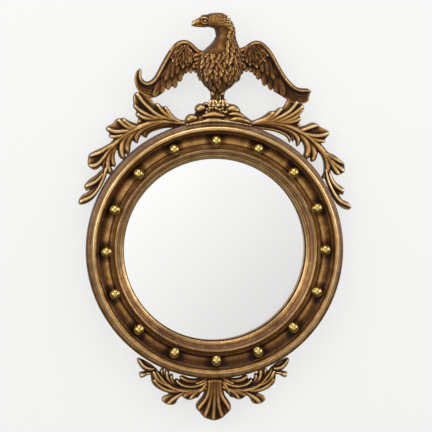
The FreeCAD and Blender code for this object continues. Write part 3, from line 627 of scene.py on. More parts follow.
def ballTree():
    labels = [("Count", "Int"), ("Circle", "Float"), ("Ball Radius", "Float"), ("Ball Segments", "Int"),
              ("Ball Rings", "Int"), ("Centre Depth", "Float"), ("Neck Radius", "Float"),
              ("Neck Length", "Float"), ("Neck Start", "Float"), ("Finish", "Material")]
    tree, start, end = geometryTree("coveBalls", labels)
    read = start.outputs
    circle = geoNode(tree, "GeometryNodeMeshCircle", None,
                     {"Vertices": read["Count"], "Radius": read["Circle"]})
    globe = geoNode(tree, "GeometryNodeMeshUVSphere", None, {
        "Segments": read["Ball Segments"], "Rings": read["Ball Rings"], "Radius": read["Ball Radius"]})
    neck = geoNode(tree, "GeometryNodeMeshCylinder", None,
                   {"Vertices": 24, "Radius": read["Neck Radius"], "Depth": read["Neck Length"]})
    down = geoNode(tree, "ShaderNodeMath", {"operation": "MULTIPLY_ADD"},
                   {0: read["Neck Length"], 1: -0.5, 2: read["Neck Start"]})
    where = geoNode(tree, "ShaderNodeCombineXYZ", None, {"Z": down.outputs[0]})
    lowered = geoNode(tree, "GeometryNodeTransform", None,
                      {"Geometry": neck.outputs["Mesh"], "Translation": where.outputs[0]})
    joined = tree.nodes.new("GeometryNodeJoinGeometry")
    tree.links.new(lowered.outputs["Geometry"], joined.inputs["Geometry"])
    tree.links.new(globe.outputs["Mesh"], joined.inputs["Geometry"])
    copies = geoNode(tree, "GeometryNodeInstanceOnPoints", None,
                     {"Points": circle.outputs["Mesh"], "Instance": joined.outputs["Geometry"]})
    depth = geoNode(tree, "ShaderNodeCombineXYZ", None, {"Z": read["Centre Depth"]})
    raised = geoNode(tree, "GeometryNodeTransform", None,
                     {"Geometry": copies.outputs["Instances"], "Translation": depth.outputs[0]})
    stood = geoNode(tree, "GeometryNodeTransform", None,
                    {"Geometry": raised.outputs["Geometry"], "Rotation": (math.pi / 2, 0.0, 0.0)})
    real = geoNode(tree, "GeometryNodeRealizeInstances", None, {"Geometry": stood.outputs["Geometry"]})
    smooth = geoNode(tree, "GeometryNodeSetShadeSmooth", None, {"Geometry": real.outputs["Geometry"]})
    coated = geoNode(tree, "GeometryNodeSetMaterial", None,
                     {"Geometry": smooth.outputs["Geometry"], "Material": read["Finish"]})
    tree.links.new(coated.outputs["Geometry"], end.inputs["Geometry"])
    return tree


ballHost = addObject("coveBalls", bpy.data.meshes.new("coveBalls"))
neckLength = balls["centreDepth"] - balls["seatDepth"] - balls["neckTop"]
runTree(ballHost, ballTree(), {
    "Count": balls["count"], "Circle": balls["circle"] * mm, "Ball Radius": balls["radius"] * mm,
    "Ball Segments": balls["segments"], "Ball Rings": balls["rings"],
    "Centre Depth": balls["centreDepth"] * mm, "Neck Radius": balls["neckRadius"] * mm,
    "Neck Length": neckLength * mm, "Neck Start": -balls["neckTop"] * mm, "Finish": brass,
})
place(ballHost, brass, "brass_ball", ["brass_balls"])
print("balls", len(ballHost.data.polygons), "faces")


# convex glass

glass = {
    "diameter": 355.6, "curve": 640.0, "crest": 44.5, "thick": 3.0,
    "rings": 40, "backStep": 8, "segments": 192,
}


def convexGlass():
    edge = glass["diameter"] / 2
    rows = []
    for k in range(glass["rings"] + 1):
        r = edge * k / glass["rings"]
        rows.append((r, glass["crest"] - glass["curve"] + math.sqrt(glass["curve"] ** 2 - r ** 2)))
    inner = glass["curve"] - glass["thick"]
    back = []
    for k in range(glass["rings"], -1, -glass["backStep"]):
        r = edge * k / glass["rings"]
        back.append((r, glass["crest"] - glass["curve"] + math.sqrt(inner ** 2 - r ** 2)))
    work = bmesh.new()
    loops = []
    for r, d in rows + back:
        if r == 0:
            loops.append([work.verts.new((0, -d * mm, 0))])
            continue
        turns = [2 * math.pi * k / glass["segments"] for k in range(glass["segments"])]
        loops.append([work.verts.new((r * mm * math.cos(t), -d * mm, r * mm * math.sin(t))) for t in turns])
    for near, far in zip(loops, loops[1:]):
        for k in range(glass["segments"]):
            j = (k + 1) % glass["segments"]
            corners = [near[k % len(near)], near[j % len(near)], far[j % len(far)], far[k % len(far)]]
            work.faces.new(list(dict.fromkeys(corners)))
    bmesh.ops.recalc_face_normals(work, faces=work.faces)
    mesh = bpy.data.meshes.new("convexGlass")
    work.to_mesh(mesh)
    work.free()
    made = addObject("convexGlass", mesh)
    for poly in mesh.polygons:
        poly.use_smooth = True
    mesh.set_sharp_from_angle(angle=math.radians(40))
    return made


place(convexGlass(), silvered, "mirror_glass", ["mirror_glass"])


# carved leaves: (degrees from the top, mm above the ring); blades have an outline and ribs, stems a route

leaf = {
    "voxel": 0.75, "cell": 0.7, "back": 13.0, "edge": 9.0, "dome": 6.5, "shoulder": 6.5,
    "rib": 3.4, "ribHalf": 3.9, "flute": 1.4, "lip": 0.7, "lipWidth": 1.6, "stem": 19.0, "plump": 1.25,
}
leftBlades = [
    {"outline": [(13, 4), (14.5, 9), (16.2, 17), (17.3, 26), (17.9, 35), (18.4, 43), (19.5, 44),
                 (20.2, 45), (20.7, 53), (21.6, 55), (22.5, 54), (22.4, 62), (22.8, 69), (23.8, 77),
                 (25, 85), (26.3, 89), (27.4, 87), (28.4, 80), (28.9, 71), (29.6, 69), (29.6, 62),
                 (29.2, 56), (30.2, 54), (30.4, 49), (29.9, 43), (30.6, 41), (31.5, 38), (29, 32),
                 (25, 26), (20, 17), (15, 5)],
     "ribs": [[(14.5, 6), (17, 15), (19.4, 27), (20.6, 37), (21.6, 54)],
              [(14, 5), (16.5, 14), (18.2, 25), (19.1, 43)],
              [(15, 7), (18, 15), (21, 25), (23.5, 38), (24.8, 52), (25.8, 66), (26.4, 88)],
              [(22, 24), (25, 34), (27, 46), (28.4, 58), (29.2, 69)],
              [(24, 26), (26.5, 34), (28.7, 44), (29.8, 53)]]},
    {"outline": [(31, 34), (32, 40), (33, 46), (34, 56), (34.3, 60), (35.6, 62), (36.2, 65.5), (37.5, 65),
                 (38.5, 62.5), (39.8, 64), (41, 66), (42, 64), (42, 58), (41.8, 53), (42.6, 51), (43, 47),
                 (42.3, 42), (41.5, 37), (40, 32), (36, 29)],
     "ribs": [[(33, 32), (34.8, 38), (35.8, 48), (36.4, 63)], [(35, 32), (38, 42), (40, 50), (41.4, 64)],
              [(38, 32), (40, 38), (42, 45), (42.7, 50)], [(33, 34), (34, 42), (34.8, 56)]]},
    {"outline": [(42, 35), (44, 39), (47, 43), (50, 50), (52.3, 55), (53, 54), (54.5, 50), (56, 45),
                 (56.4, 38), (56.2, 30), (55, 25.5), (53, 24), (49, 25), (44, 30)],
     "ribs": [[(43, 34), (47, 39), (50, 44), (52.6, 54)],
              [(43, 33), (48, 31), (52, 31), (55, 37), (56, 44)]]},
    {"outline": [(54, 20), (57, 21), (60, 28.5), (62, 30.5), (63.5, 32), (64.5, 28), (65.2, 23), (62, 14),
                 (58, 8), (54, 11)],
     "ribs": [[(56, 13), (60, 18), (63.2, 30)]]},
    {"outline": [(51, 18), (55, 18), (58, 14), (62, 14), (65.3, 20.5), (66.5, 26), (68, 29), (70, 30.5),
                 (71.2, 27), (70.6, 20), (69, 12), (66.5, 5), (62, 2.0), (57, 3.0), (54, 7), (51, 14)],
     "ribs": [[(52, 16), (56, 9), (60, 6), (64, 8), (67, 15), (69.6, 28)]]},
]
leftStems = [
    ([(13, 3), (18, 11), (22, 19), (26, 25), (30, 28), (34, 31), (38, 33), (42, 33), (46, 32), (50, 27),
      (52, 23), (54, 16)],
     [8, 9, 10, 11, 12, 12, 12, 12, 11, 10, 9, 8], 1.0),
    ([(16, 6), (20, 14), (24, 19), (28, 22), (31, 23), (33.5, 21), (35.2, 15), (35.8, 5)],
     [4, 6, 7, 8, 10, 13, 13, 9], 0.95),
    ([(15, 4), (20, 10), (24, 15), (28, 17.5), (31, 15), (31.9, 7)], [5, 6, 7, 8, 9, 8], 0.78),
    ([(15, 0), (18, 3), (22, 8.5), (26, 11.5), (30, 11), (31.6, 4)], [7, 6, 6, 6, 6, 5], 0.55),
    ([(30, 27), (35, 26), (38, 22), (40.5, 13), (41.3, 1)], [8, 10, 13, 14, 10], 0.95),
    ([(34, 30), (40, 26), (42.6, 17), (44.2, 7), (44.3, -2)], [9, 13, 13, 11, 9], 1.0),
    ([(41, 31), (46, 24), (49, 12), (49.9, 2)], [8, 9, 9, 8], 0.86),
    ([(44, 31), (49, 23), (52, 12), (53.4, -2)], [8, 10, 11, 10], 0.95),
]
rightBlades = [
    {"outline": [(15, 4), (17, 12), (19, 19), (20.5, 27), (21.5, 35), (22.2, 40), (23.5, 41), (24, 46),
                 (24.6, 52), (25.6, 52.5), (26, 58), (26, 70), (26.2, 78), (31.6, 78), (32.8, 70),
                 (32.6, 60), (32.3, 55), (33.3, 54.5), (33.9, 50), (33.6, 44), (34.6, 43), (35, 41),
                 (33, 34), (30, 27), (26, 20), (20, 10)],
     "ribs": [[(17, 9), (20, 17), (22, 27), (23, 38)], [(17, 8), (21, 17), (23.5, 29), (25.2, 50)],
              [(17, 8), (23, 20), (26, 34), (28.5, 55), (29.2, 76)],
              [(18, 9), (25, 22), (28, 36), (30.5, 56), (31.8, 76)],
              [(26, 22), (29, 33), (31.5, 50), (32.3, 66)], [(27, 25), (31, 38), (33.4, 52)]]},
    {"outline": [(34, 34), (35.5, 42), (36.5, 48), (37.2, 55), (38, 61), (39.7, 63.5), (40.8, 61.5),
                 (42.5, 65), (44.2, 67), (45, 65), (45.3, 59), (45.2, 51), (46.2, 49), (46, 45), (45, 39),
                 (43, 32), (38, 29)],
     "ribs": [[(36, 34), (37.5, 45), (39.6, 61)], [(37, 31), (40, 38), (43, 50), (44.7, 65)],
              [(40, 32), (43, 38), (45.7, 48)]]},
    {"outline": [(44, 34), (48, 37), (50, 40), (52.5, 46.5), (54, 47), (56.5, 52), (58, 48), (59.7, 43),
                 (59.5, 36), (59.3, 28), (58.5, 24.5), (56, 24), (52, 25), (46, 29)],
     "ribs": [[(45, 33), (50, 33), (54, 34), (57, 39), (59.4, 43)], [(50, 36), (53, 41), (56.3, 51)],
              [(50, 33), (54, 31), (59, 31)]]},
    {"outline": [(55, 22), (57, 20), (60, 18.5), (62, 20), (64, 26), (65.3, 28), (66.5, 25), (67.5, 21),
                 (66, 13), (62, 9), (58, 11), (55, 18)],
     "ribs": [[(57, 16), (60, 14), (63, 17), (65, 22), (66.4, 26)]]},
    {"outline": [(54, 20), (57, 14), (60, 11), (64, 12), (67, 15), (69.3, 17), (70, 22), (71, 26),
                 (72.5, 29), (73.6, 28), (74.1, 22), (73, 13), (71, 7), (69, 3), (64, 1.5), (60, 3),
                 (56, 7), (53, 17)],
     "ribs": [[(55, 16), (59, 8), (63, 6), (67, 8), (69.5, 13), (71, 20), (72.6, 28)]]},
]
rightStems = [
    ([(15, 3), (20, 12), (25, 20), (30, 27), (35, 31), (40, 33.5), (45, 33), (50, 31), (53, 25), (56, 13),
      (57, -2)],
     [8, 9, 10, 11, 11, 11, 11, 12, 12, 12, 10], 1.0),
    ([(18, 6), (24, 15), (30, 21), (35, 22), (37.7, 16), (38.8, 5)], [5, 7, 8, 10, 10, 8], 0.88),
    ([(17, 4), (24, 12), (28, 17), (32, 18), (35.3, 15), (36.2, 7)], [5, 5, 5, 5, 5, 5], 0.7),
    ([(17, 0), (21, 3), (25, 8), (30, 12), (34, 10), (35.4, 3)], [7, 6, 6, 6, 6, 5], 0.55),
    ([(34, 29), (41, 23), (44, 12), (45, -2)], [10, 12, 12, 11], 0.92),
    ([(40, 30), (45, 22), (47.4, 12), (47.8, 3)], [9, 12, 11, 8], 0.85),
]
apronBlades = [
    {"outline": [(11, 27), (14, 36), (17, 41), (20, 41.5), (22.5, 40), (24.5, 37), (25.7, 33), (26.5, 27),
                 (27.5, 20), (28, 12), (27, 6), (25, 9), (22, 17), (18, 23)],
     "ribs": [[(13, 30), (18, 36), (22, 34), (25, 28)], [(19, 27), (24, 24), (26.8, 15)]]},
    {"outline": [(10, 28), (12.5, 38), (14, 47), (14.2, 56), (15.4, 61), (17.6, 62.5), (19.6, 59),
                 (19.7, 51), (18.0, 44), (15.5, 34), (13, 28)],
     "ribs": [[(11.5, 30), (14, 40), (16, 50), (17, 60)]]},
    {"outline": [(4, 20), (6.5, 30), (7.6, 40), (9.0, 45), (11.2, 45), (12.8, 40), (13.6, 34), (12, 28),
                 (9, 22)],
     "ribs": [[(6, 24), (8.4, 32), (9.4, 43)], [(8, 25), (10.6, 31), (12.2, 39)]]},
    {"outline": [(26.5, 6), (27.5, 14), (29, 18.5), (31.2, 20.5), (33.5, 17), (35.3, 12), (36, 6),
                 (33, 3.5), (29, 3.5)],
     "ribs": [[(27.5, 10), (31, 13.5), (35.2, 8)]]},
]
apronStems = [
    ([(2.5, 14), (5, 21), (8, 26), (12, 29.5), (16, 30), (20, 26), (23, 19), (25.5, 12), (27.5, 5)],
     [9, 10, 10, 10, 10, 9, 8, 7, 6], 1.0),
    ([(3, 5), (6, 13), (9, 18.5), (12, 20), (15, 17.5), (17, 11)], [8, 8, 8, 7, 7, 9], 0.92),
    ([(2.5, 0), (5, 5), (8, 9), (12, 10), (15.5, 5)], [9, 10, 10, 10, 8], 0.55),
    ([(15, 26), (19, 20), (21, 10), (21.3, -2)], [7, 8, 8, 8], 0.7),
    ([(18, 25), (22, 18), (23.6, 8), (23.6, 0)], [7, 8, 7, 6], 0.62),
    ([(13, 24), (16.5, 21), (18.6, 14), (19, 4)], [6, 7, 7, 6], 0.62),
    ([(27.6, 18), (29.2, 23), (30.4, 29)], [6, 7, 7], 0.9),
    ([(29.6, 25), (31.2, 32.5)], [9, 10], 1.05),
    ([(6, 27), (8, 34), (8.8, 42)], [6, 8, 7], 0.9),
    ([(7, 26), (10, 32), (11.4, 40)], [6, 8, 7], 1.0),
    ([(8, 24), (11.4, 28), (13.4, 33)], [6, 7, 6], 0.95),
    ([(3, 16), (6, 25), (7.3, 40)], [7, 9, 7], 0.72),
]
shellBlades = [
    {"outline": [(-3.6, -2), (-4.0, 18), (-4.4, 33), (-5.9, 43), (-7.0, 51), (-6.7, 60), (-5.3, 65),
                 (-4.6, 70), (-3.6, 75), (-2.1, 77.5), (-0.4, 80), (1.4, 78), (2.9, 74), (3.8, 69.5),
                 (5, 65), (5.9, 59), (5.9, 50), (4.9, 41), (3.7, 31), (3.4, 15), (3, -2)],
     "ribs": [[(-2.6, 5), (-3.2, 34), (-4.9, 48), (-6.3, 59)],
              [(-1.4, 4), (-1.9, 38), (-2.7, 56), (-3.9, 74)], [(-0.2, 4), (-0.4, 45), (-0.7, 79)],
              [(0.9, 4), (1.1, 38), (1.5, 56), (2.6, 75)], [(2.0, 5), (2.4, 32), (3.9, 46), (5.3, 60)]]},
]
shellStems = [
    ([(-1.2, -2), (-3.8, 12), (-6.6, 30)], [7, 9, 8], 0.8),
    ([(1.2, -2), (3.8, 12), (6.2, 33)], [7, 9, 8], 0.8),
    ([(-2.4, -2), (-5.2, 6), (-8.6, 14)], [7, 8, 7], 0.6),
    ([(2.4, -2), (5.2, 6), (8.4, 15)], [7, 8, 7], 0.6),
]


def ringCutter(radius):  # takes the ring's round out of what sits on it
    work = bmesh.new()
    bmesh.ops.create_cone(work, cap_ends=True, segments=256, depth=0.4,
                          radius1=radius * mm, radius2=radius * mm)
    bmesh.ops.rotate(work, verts=work.verts, cent=(0, 0, 0), matrix=Matrix.Rotation(math.pi / 2, 3, "X"))
    mesh = bpy.data.meshes.new("ringCutter")
    work.to_mesh(mesh)
    work.free()
    made = addObject("ringCutter", mesh)
    made.hide_render = True
    return made


cutter = ringCutter(ring["radius"] + 0.1)


def spray(name, blades, stems, side=1, foot=False, reach=1.0, deeper=0.0, gain=rubbing["gain"]):
    def spots(route):
        return [onRing(side * a * reach, h, foot) for a, h in route]
    carving = Carving()
    for blade in blades:
        carving.blade(spots(blade["outline"]), [spots(rib) for rib in blade["ribs"]], leaf, deeper)
    for route, widths, rise in stems:
        wide = np.array(widths) * leaf["plump"]
        carving.lobe(spots(route), wide, plumpSection, leaf["back"], leaf["stem"] * rise + deeper)
    return fuse(carving.object(name), leaf["voxel"], gain=gain, cutter=cutter)


crestLeft = spray("crestSprayLeft", leftBlades, leftStems, -1)
crestRight = spray("crestSprayRight", rightBlades, rightStems)
shell = spray("apronShell", shellBlades, shellStems, foot=True, deeper=4.0, gain=(230.0, 170.0, 60.0))
apronLeft = spray("apronSprayLeft", apronBlades, apronStems, -1, foot=True)
apronRight = spray("apronSprayRight", apronBlades, apronStems, foot=True, reach=0.96)
place(crestLeft, giltLeaf, "gilt_leaf", ["crest_spray_left"])
place(crestRight, giltLeaf, "gilt_leaf", ["crest_spray_right"])
place(shell, giltApron, "gilt_leaf", ["apron_shell"])
place(apronLeft, giltApron, "gilt_leaf", ["apron_spray_left"])
place(apronRight, giltApron, "gilt_leaf", ["apron_spray_right"])
print("leaves carved")


# eagle: lofted body and head, scale feathers set in rows, wings built in their own span and chord

bird = {"voxel": 0.78, "headDepth": 35.0, "featherStep": 8.6, "rowStep": 7.8, "seed": 4}
trunkLevels = [  # height, left, right, half depth, depth of the middle
    (296, -5, 14, 8, 30), (300, -10, 21, 12, 31), (304, -13.5, 26, 15, 31.5), (309, -18.5, 31, 18, 31.5),
    (315, -23, 37, 20, 32), (322, -27.5, 43, 22, 32.5), (328, -30, 45.5, 23, 33), (338, -31, 47, 24, 33),
    (350, -30, 47.5, 23.5, 33), (360, -28, 47, 22.5, 33), (368, -24, 46.5, 21, 33),
    (374, -18.5, 44.5, 20, 33), (380, -11, 41.5, 18.5, 33), (386, -5, 39, 17, 33),
    (394, 0, 36.5, 15.5, 33.5), (402, 1.5, 35.5, 14.5, 34), (410, 0, 34.5, 14, 34.5),
    (418, -4, 33, 13.5, 35), (425, -5, 29, 12, 35), (431, -2, 24, 9, 35),
]
headStations = [  # across, underside, crown, half depth
    (31, 407, 419, 7), (25, 404, 426.5, 11), (17, 404, 435.5, 13.5), (8, 408, 439.8, 14),
    (-2, 412, 440.8, 13.5), (-10, 414.5, 439.8, 12.5), (-17, 415.5, 438.6, 11), (-23, 416.5, 438.4, 9.6),
    (-27, 417.5, 437.0, 8),
]
upperBeak = [
    (-22, 419.4, 436.0, 8.4), (-28, 419.2, 434.2, 7.2), (-33, 419.0, 431.4, 6.2),
    (-38, 418.6, 429.0, 5.2), (-42, 417.6, 427.0, 4.2), (-44.0, 416.4, 424.0, 2.8),
    (-44.6, 415.8, 420.0, 1.5),
]
lowerBeak = [
    (-18, 414.3, 424.0, 8.0), (-28, 414.8, 424.0, 5.6), (-35, 415.3, 423.5, 4.4), (-41, 416.2, 422.0, 2.8),
]


def trunkPoint(level, swing):  # a point of the breast: height, and radians round from the front
    middle, half, deep, depth = (np.interp(level, trunkTable[:, 0], trunkTable[:, k]) for k in (1, 2, 3, 4))
    return np.array([middle + half * math.sin(swing), -(depth + deep * math.cos(swing)), level])


trunkTable = smoothRoute([(z, (a + b) / 2, (b - a) / 2, d, y) for z, a, b, d, y in trunkLevels], 60)


def headRings(carving, stations, count, depth, square=0.0):
    turns = [2 * math.pi * k / 24 for k in range(24)]
    rings = []
    for x, low, high, deep in smoothRoute(stations, count):
        middle, half = (low + high) / 2, (high - low) / 2
        rings.append([(x, -(depth + deep * math.copysign(abs(math.cos(t)) ** (1 - square), math.cos(t))),
                       middle + half * math.sin(t)) for t in turns])
    carving.rings(rings)


def ball(carving, x, depth, z, radius, stretch=1.0):
    rings = []
    for k in range(13):
        t = math.pi * (k + 0.3) / 12.6
        r = radius * math.sin(t)
        rings.append([(x + r * math.cos(u), -(depth + r * math.sin(u)), z + stretch * radius * math.cos(t))
                      for u in np.linspace(0, 2 * math.pi, 20, endpoint=False)])
    carving.rings(rings)


def tube(carving, route, radii, count=18, corners=14):
    middle = smoothRoute(route, count)
    thick = np.interp(np.linspace(0, 1, count), np.linspace(0, 1, len(radii)), radii)
    ahead = np.gradient(middle, axis=0)
    ahead /= np.linalg.norm(ahead, axis=1)[:, None]
    rows = []
    for k in range(count):
        side = np.cross(ahead[k], (0.31, 0.2, 0.93) if abs(ahead[k][2]) < 0.8 else (1.0, 0.1, 0.0))
        side /= np.linalg.norm(side)
        other = np.cross(ahead[k], side)
        rows.append([tuple(middle[k] + thick[k] * (side * math.cos(t) + other * math.sin(t)))
                     for t in np.linspace(0, 2 * math.pi, corners, endpoint=False)])
    carving.rings(rows)


def birdShell():
    carving = Carving()
    rows = []
    for z, middle, half, deep, depth in trunkTable:
        rows.append([(middle + half * math.cos(t), -(depth + deep * math.sin(t)), z)
                     for t in np.linspace(0, 2 * math.pi, 40, endpoint=False)])
    carving.rings(rows)
    face = bird["headDepth"]
    headRings(carving, headStations, 26, face)
    headRings(carving, upperBeak, 18, face, 0.2)
    headRings(carving, lowerBeak, 12, face, 0.2)
    for side in (-1, 1):
        brow = face + side * 9.4
        ball(carving, -20.5, brow, 426.6, 2.3)
        temple = brow + side * 1.6
        tube(carving, [(-29, -(face + side * 6.5), 431.5), (-22, -brow, 432.6), (-14, -temple, 430.6)],
             [1.0, 1.9, 0.8])
        tube(carving, [(-27, -(face + side * 7.4), 424.0), (-21, -brow, 421.8), (-13, -temple, 424.5)],
             [0.8, 1.2, 0.7])
        ball(carving, -33.5, face + side * 4.2, 426.6, 1.3)
    for x in (-5.0, 13.0):
        leg = [(x * 1.05 + 0.4, -31.5, 308), (x, -32.5, 299), (x, -32, 291), (x, -31.5, 284),
               (x, -31.5, 277)]
        tube(carving, leg, [8.0, 5.2, 4.6, 3.8, 4.4])
        ball(carving, x, 34.5, 293, 4.6, 1.3)
        for spread in (-8.5, -0.5, 7.5):  # claws
            tube(carving, [(x, -33, 281), (x + 0.5 * spread, -41, 279.5), (x + 0.9 * spread, -46, 274),
                           (x + spread, -48, 267)], [3.4, 2.7, 2.3, 0.8])
            for share, y, z, radius in ((0.55, -42, 278.3, 3.5), (1.0, -47.4, 271.0, 3.0)):
                ball(carving, x + share * spread, -y, z, radius)
        tube(carving, [(x, -29, 280), (x, -22, 279), (x, -17, 274)], [3.4, 2.8, 1.2])
    tail = [(4.5, -22, 306), (4.5, -20, 290), (4.5, -20, 276)]
    tube(carving, tail, [9.0, 6.0, 5.0])
    return carving.object("birdShell")


scaleSection = [(-1, 0), (-0.75, 0.7), (-0.3, 0.75), (0, 1.25), (0.3, 0.75), (0.75, 0.7), (1, 0), (0, -0.9)]


def scaleRows():  # a small pointed feather in mm: across, along from its root, and out
    length, half, rows = 13.5, 5.2, []
    for share in (0.0, 0.25, 0.5, 0.72, 0.9, 1.0):
        swell = 0.55 + 0.45 * math.sin(math.pi * min(share * 1.1, 0.6))
        wide = half * swell * max(1 - share ** 2.4, 0.004) ** 0.8
        lift = 0.3 + share * 2.0
        thick = 2.5 * math.sqrt(max(1.05 - share ** 2, 0.01))
        rows.append([(wide * u, length * share, lift - 1.2 + h * thick) for u, h in scaleSection])
    return rows


def featherSpots():  # staggered rows, round the breast, down the nape and over the head
    random = np.random.default_rng(bird["seed"])
    spots, turns, sizes = [], [], []
    level = 428.0
    row = 0
    while level > 296:
        half = np.interp(level, trunkTable[:, 0], trunkTable[:, 2])
        around = 2 * math.pi * half * 0.85
        size = float(np.interp(level, (296, 330, 372, 420), (0.82, 0.98, 0.82, 0.66)))
        many = max(6, int(around / (bird["featherStep"] * size)))
        for k in range(many):
            swing = 2 * math.pi * (k + 0.5 * (row % 2)) / many + random.normal(0, 0.03)
            point = trunkPoint(level + random.normal(0, 1.0), swing)
            throat = np.interp(level, (362, 375, 400, 425), (-40, 19, 21, 20))
            if math.cos(swing) > -0.15 and level > 364 and point[0] < throat:
                continue
            down = trunkPoint(level - 2, swing) - trunkPoint(level + 2, swing)
            across = trunkPoint(level, swing + 0.05) - trunkPoint(level, swing - 0.05)
            normal = np.cross(across, down)
            if normal[1] * math.cos(swing) > 0:
                normal = -normal
            if abs(math.cos(swing)) < 0.2 and normal[0] * math.sin(swing) < 0:
                normal = -normal
            down, normal = Vector(down).normalized(), Vector(normal).normalized()
            down.rotate(Matrix.Rotation(random.normal(0, 0.28), 3, normal))
            matrix = Matrix((down.cross(normal), down, normal)).transposed()
            spots.append([c * mm for c in point])
            turns.append(list(matrix.to_euler()))
            sizes.append(size * random.uniform(0.85, 1.3))
        level -= bird["rowStep"] * size
        row += 1
    headTable = smoothRoute(headStations, 60)[::-1]
    for x in np.arange(-13, 27, 5.0):
        low, high, deep = (np.interp(x, headTable[:, 0], headTable[:, k]) for k in (1, 2, 3))
        for k in range(9):
            for side in (-1, 1):
                t = math.radians(-50 + 17 * k + 8 * (int(x) % 2))
                out = bird["headDepth"] + side * deep * math.cos(t)
                middle, tall = (low + high) / 2, (high - low) / 2
                point = Vector((x, -out, middle + tall * math.sin(t)))
                normal = Vector((0, -side * math.cos(t) / deep, math.sin(t) / tall)).normalized()
                down = Vector((1, 0, -0.35 - random.uniform(0, 0.2)))
                down = (down - normal * down.dot(normal)).normalized()
                matrix = Matrix((down.cross(normal), down, normal)).transposed()
                spots.append([c * mm for c in point])
                turns.append(list(matrix.to_euler()))
                sizes.append(random.uniform(0.48, 0.6))
    return spots, turns, sizes


def plumageTree():
    labels = [("Shell", "Object"), ("Feather", "Object"), ("Finish", "Material")]
    tree, start, end = geometryTree("plumage", labels)
    feather = geoNode(tree, "GeometryNodeObjectInfo", None, {"Object": start.outputs["Feather"]})
    shell = geoNode(tree, "GeometryNodeObjectInfo", None, {"Object": start.outputs["Shell"]})
    turn = geoNode(tree, "GeometryNodeInputNamedAttribute", {"data_type": "FLOAT_VECTOR"}, {"Name": "turn"})
    size = geoNode(tree, "GeometryNodeInputNamedAttribute", {"data_type": "FLOAT"}, {"Name": "size"})
    laid = geoNode(tree, "GeometryNodeInstanceOnPoints", None, {
        "Points": start.outputs["Geometry"], "Instance": feather.outputs["Geometry"],
        "Rotation": turn.outputs["Attribute"], "Scale": size.outputs["Attribute"]})
    joined = tree.nodes.new("GeometryNodeJoinGeometry")
    tree.links.new(shell.outputs["Geometry"], joined.inputs["Geometry"])
    tree.links.new(laid.outputs["Instances"], joined.inputs["Geometry"])
    real = geoNode(tree, "GeometryNodeRealizeInstances", None, {"Geometry": joined.outputs["Geometry"]})
    coated = geoNode(tree, "GeometryNodeSetMaterial", None,
                     {"Geometry": real.outputs["Geometry"], "Material": start.outputs["Finish"]})
    tree.links.new(coated.outputs["Geometry"], end.inputs["Geometry"])
    return tree


def featheredBird():
    spots, turns, sizes = featherSpots()
    mesh = bpy.data.meshes.new("eagleBird")
    mesh.from_pydata(spots, [], [])
    mesh.attributes.new("turn", "FLOAT_VECTOR", "POINT").data.foreach_set("vector", np.ravel(turns))
    mesh.attributes.new("size", "FLOAT", "POINT").data.foreach_set("value", sizes)
    host = addObject("eagleBird", mesh)
    carving = Carving()
    carving.rings(scaleRows())
    shell, feather = birdShell(), carving.object("scaleFeather")
    runTree(host, plumageTree(), {"Shell": shell, "Feather": feather, "Finish": gilt})
    bpy.data.objects.remove(shell)
    bpy.data.objects.remove(feather)
    return fuse(host, bird["voxel"], smoothing=1)


wing = {
    "depth": 27.0, "thick": (15.0, 9.0), "band": 9.5, "voxel": 0.7,
    "leftShoulder": (-61, 363), "rightShoulder": (73, 363),
}
leftSpans = [  # top edge and lower edge at each span
    (-14, 372, -14, 334), (-27, 372, -30, 332), (-40, 382, -45, 331), (-57, 392, -58, 329),
    (-75, 383, -66, 314), (-90, 362, -79, 301), (-103, 338, -96, 296), (-113, 322, -109, 286),
    (-124, 315, -123, 287), (-132, 317, -138, 297), (-137, 325, -149, 309), (-136.5, 333, -151, 322),
    (-137.5, 340, -144, 338.5),
]
rightSpans = [
    (30, 372, 30, 334), (47, 376, 48, 328), (60, 381, 60, 333), (75, 390, 72, 329), (94, 382, 84, 315),
    (107, 365, 98, 302), (119, 343, 112, 294), (131, 324, 127, 286), (145, 309, 142, 276),
    (157, 302, 157, 271), (168, 301, 169, 271), (181, 300, 180, 281),
]
featherSection = [
    (-0.8, 0.0), (-1.0, 0.3), (-0.97, 0.7), (-0.8, 0.9), (-0.45, 0.95), (-0.14, 1.0), (0.0, 0.93),
    (0.14, 1.0), (0.45, 0.95), (0.8, 0.9), (0.97, 0.7), (1.0, 0.3), (0.8, 0.0),
]
featherRowsOnWing = [  # count, root from and to, tip from and to (span, chord), width, rise
    (5, (0.50, 0.28), (0.56, 0.92), (1.0, 0.34), (0.98, 0.93), (7.5, 6.5, 5.0), 6.5),
    (4, (0.09, 0.50), (0.22, 0.50), (0.11, 1.04), (0.27, 1.03), (6.0, 9.5, 7.0), 7.5),
    (5, (0.30, 0.40), (0.58, 0.18), (0.33, 1.03), (0.70, 1.00), (8.0, 13.0, 11.0), 8.5),
    (2, (0.28, 0.16), (0.30, 0.30), (0.68, 0.18), (0.60, 0.36), (6.0, 8.5, 6.0), 9.5),
    (6, (0.11, 0.42), (0.42, 0.22), (0.13, 0.88), (0.54, 0.68), (6.0, 10.5, 8.0), 10.5),
    (5, (0.01, 0.02), (0.03, 0.56), (0.17, 0.42), (0.09, 1.00), (6.0, 9.0, 6.5), 13.0),
]
shoulderFeathers = {"count": 46, "reach": 24.0, "dome": (34.0, 13.0), "seed": 11}


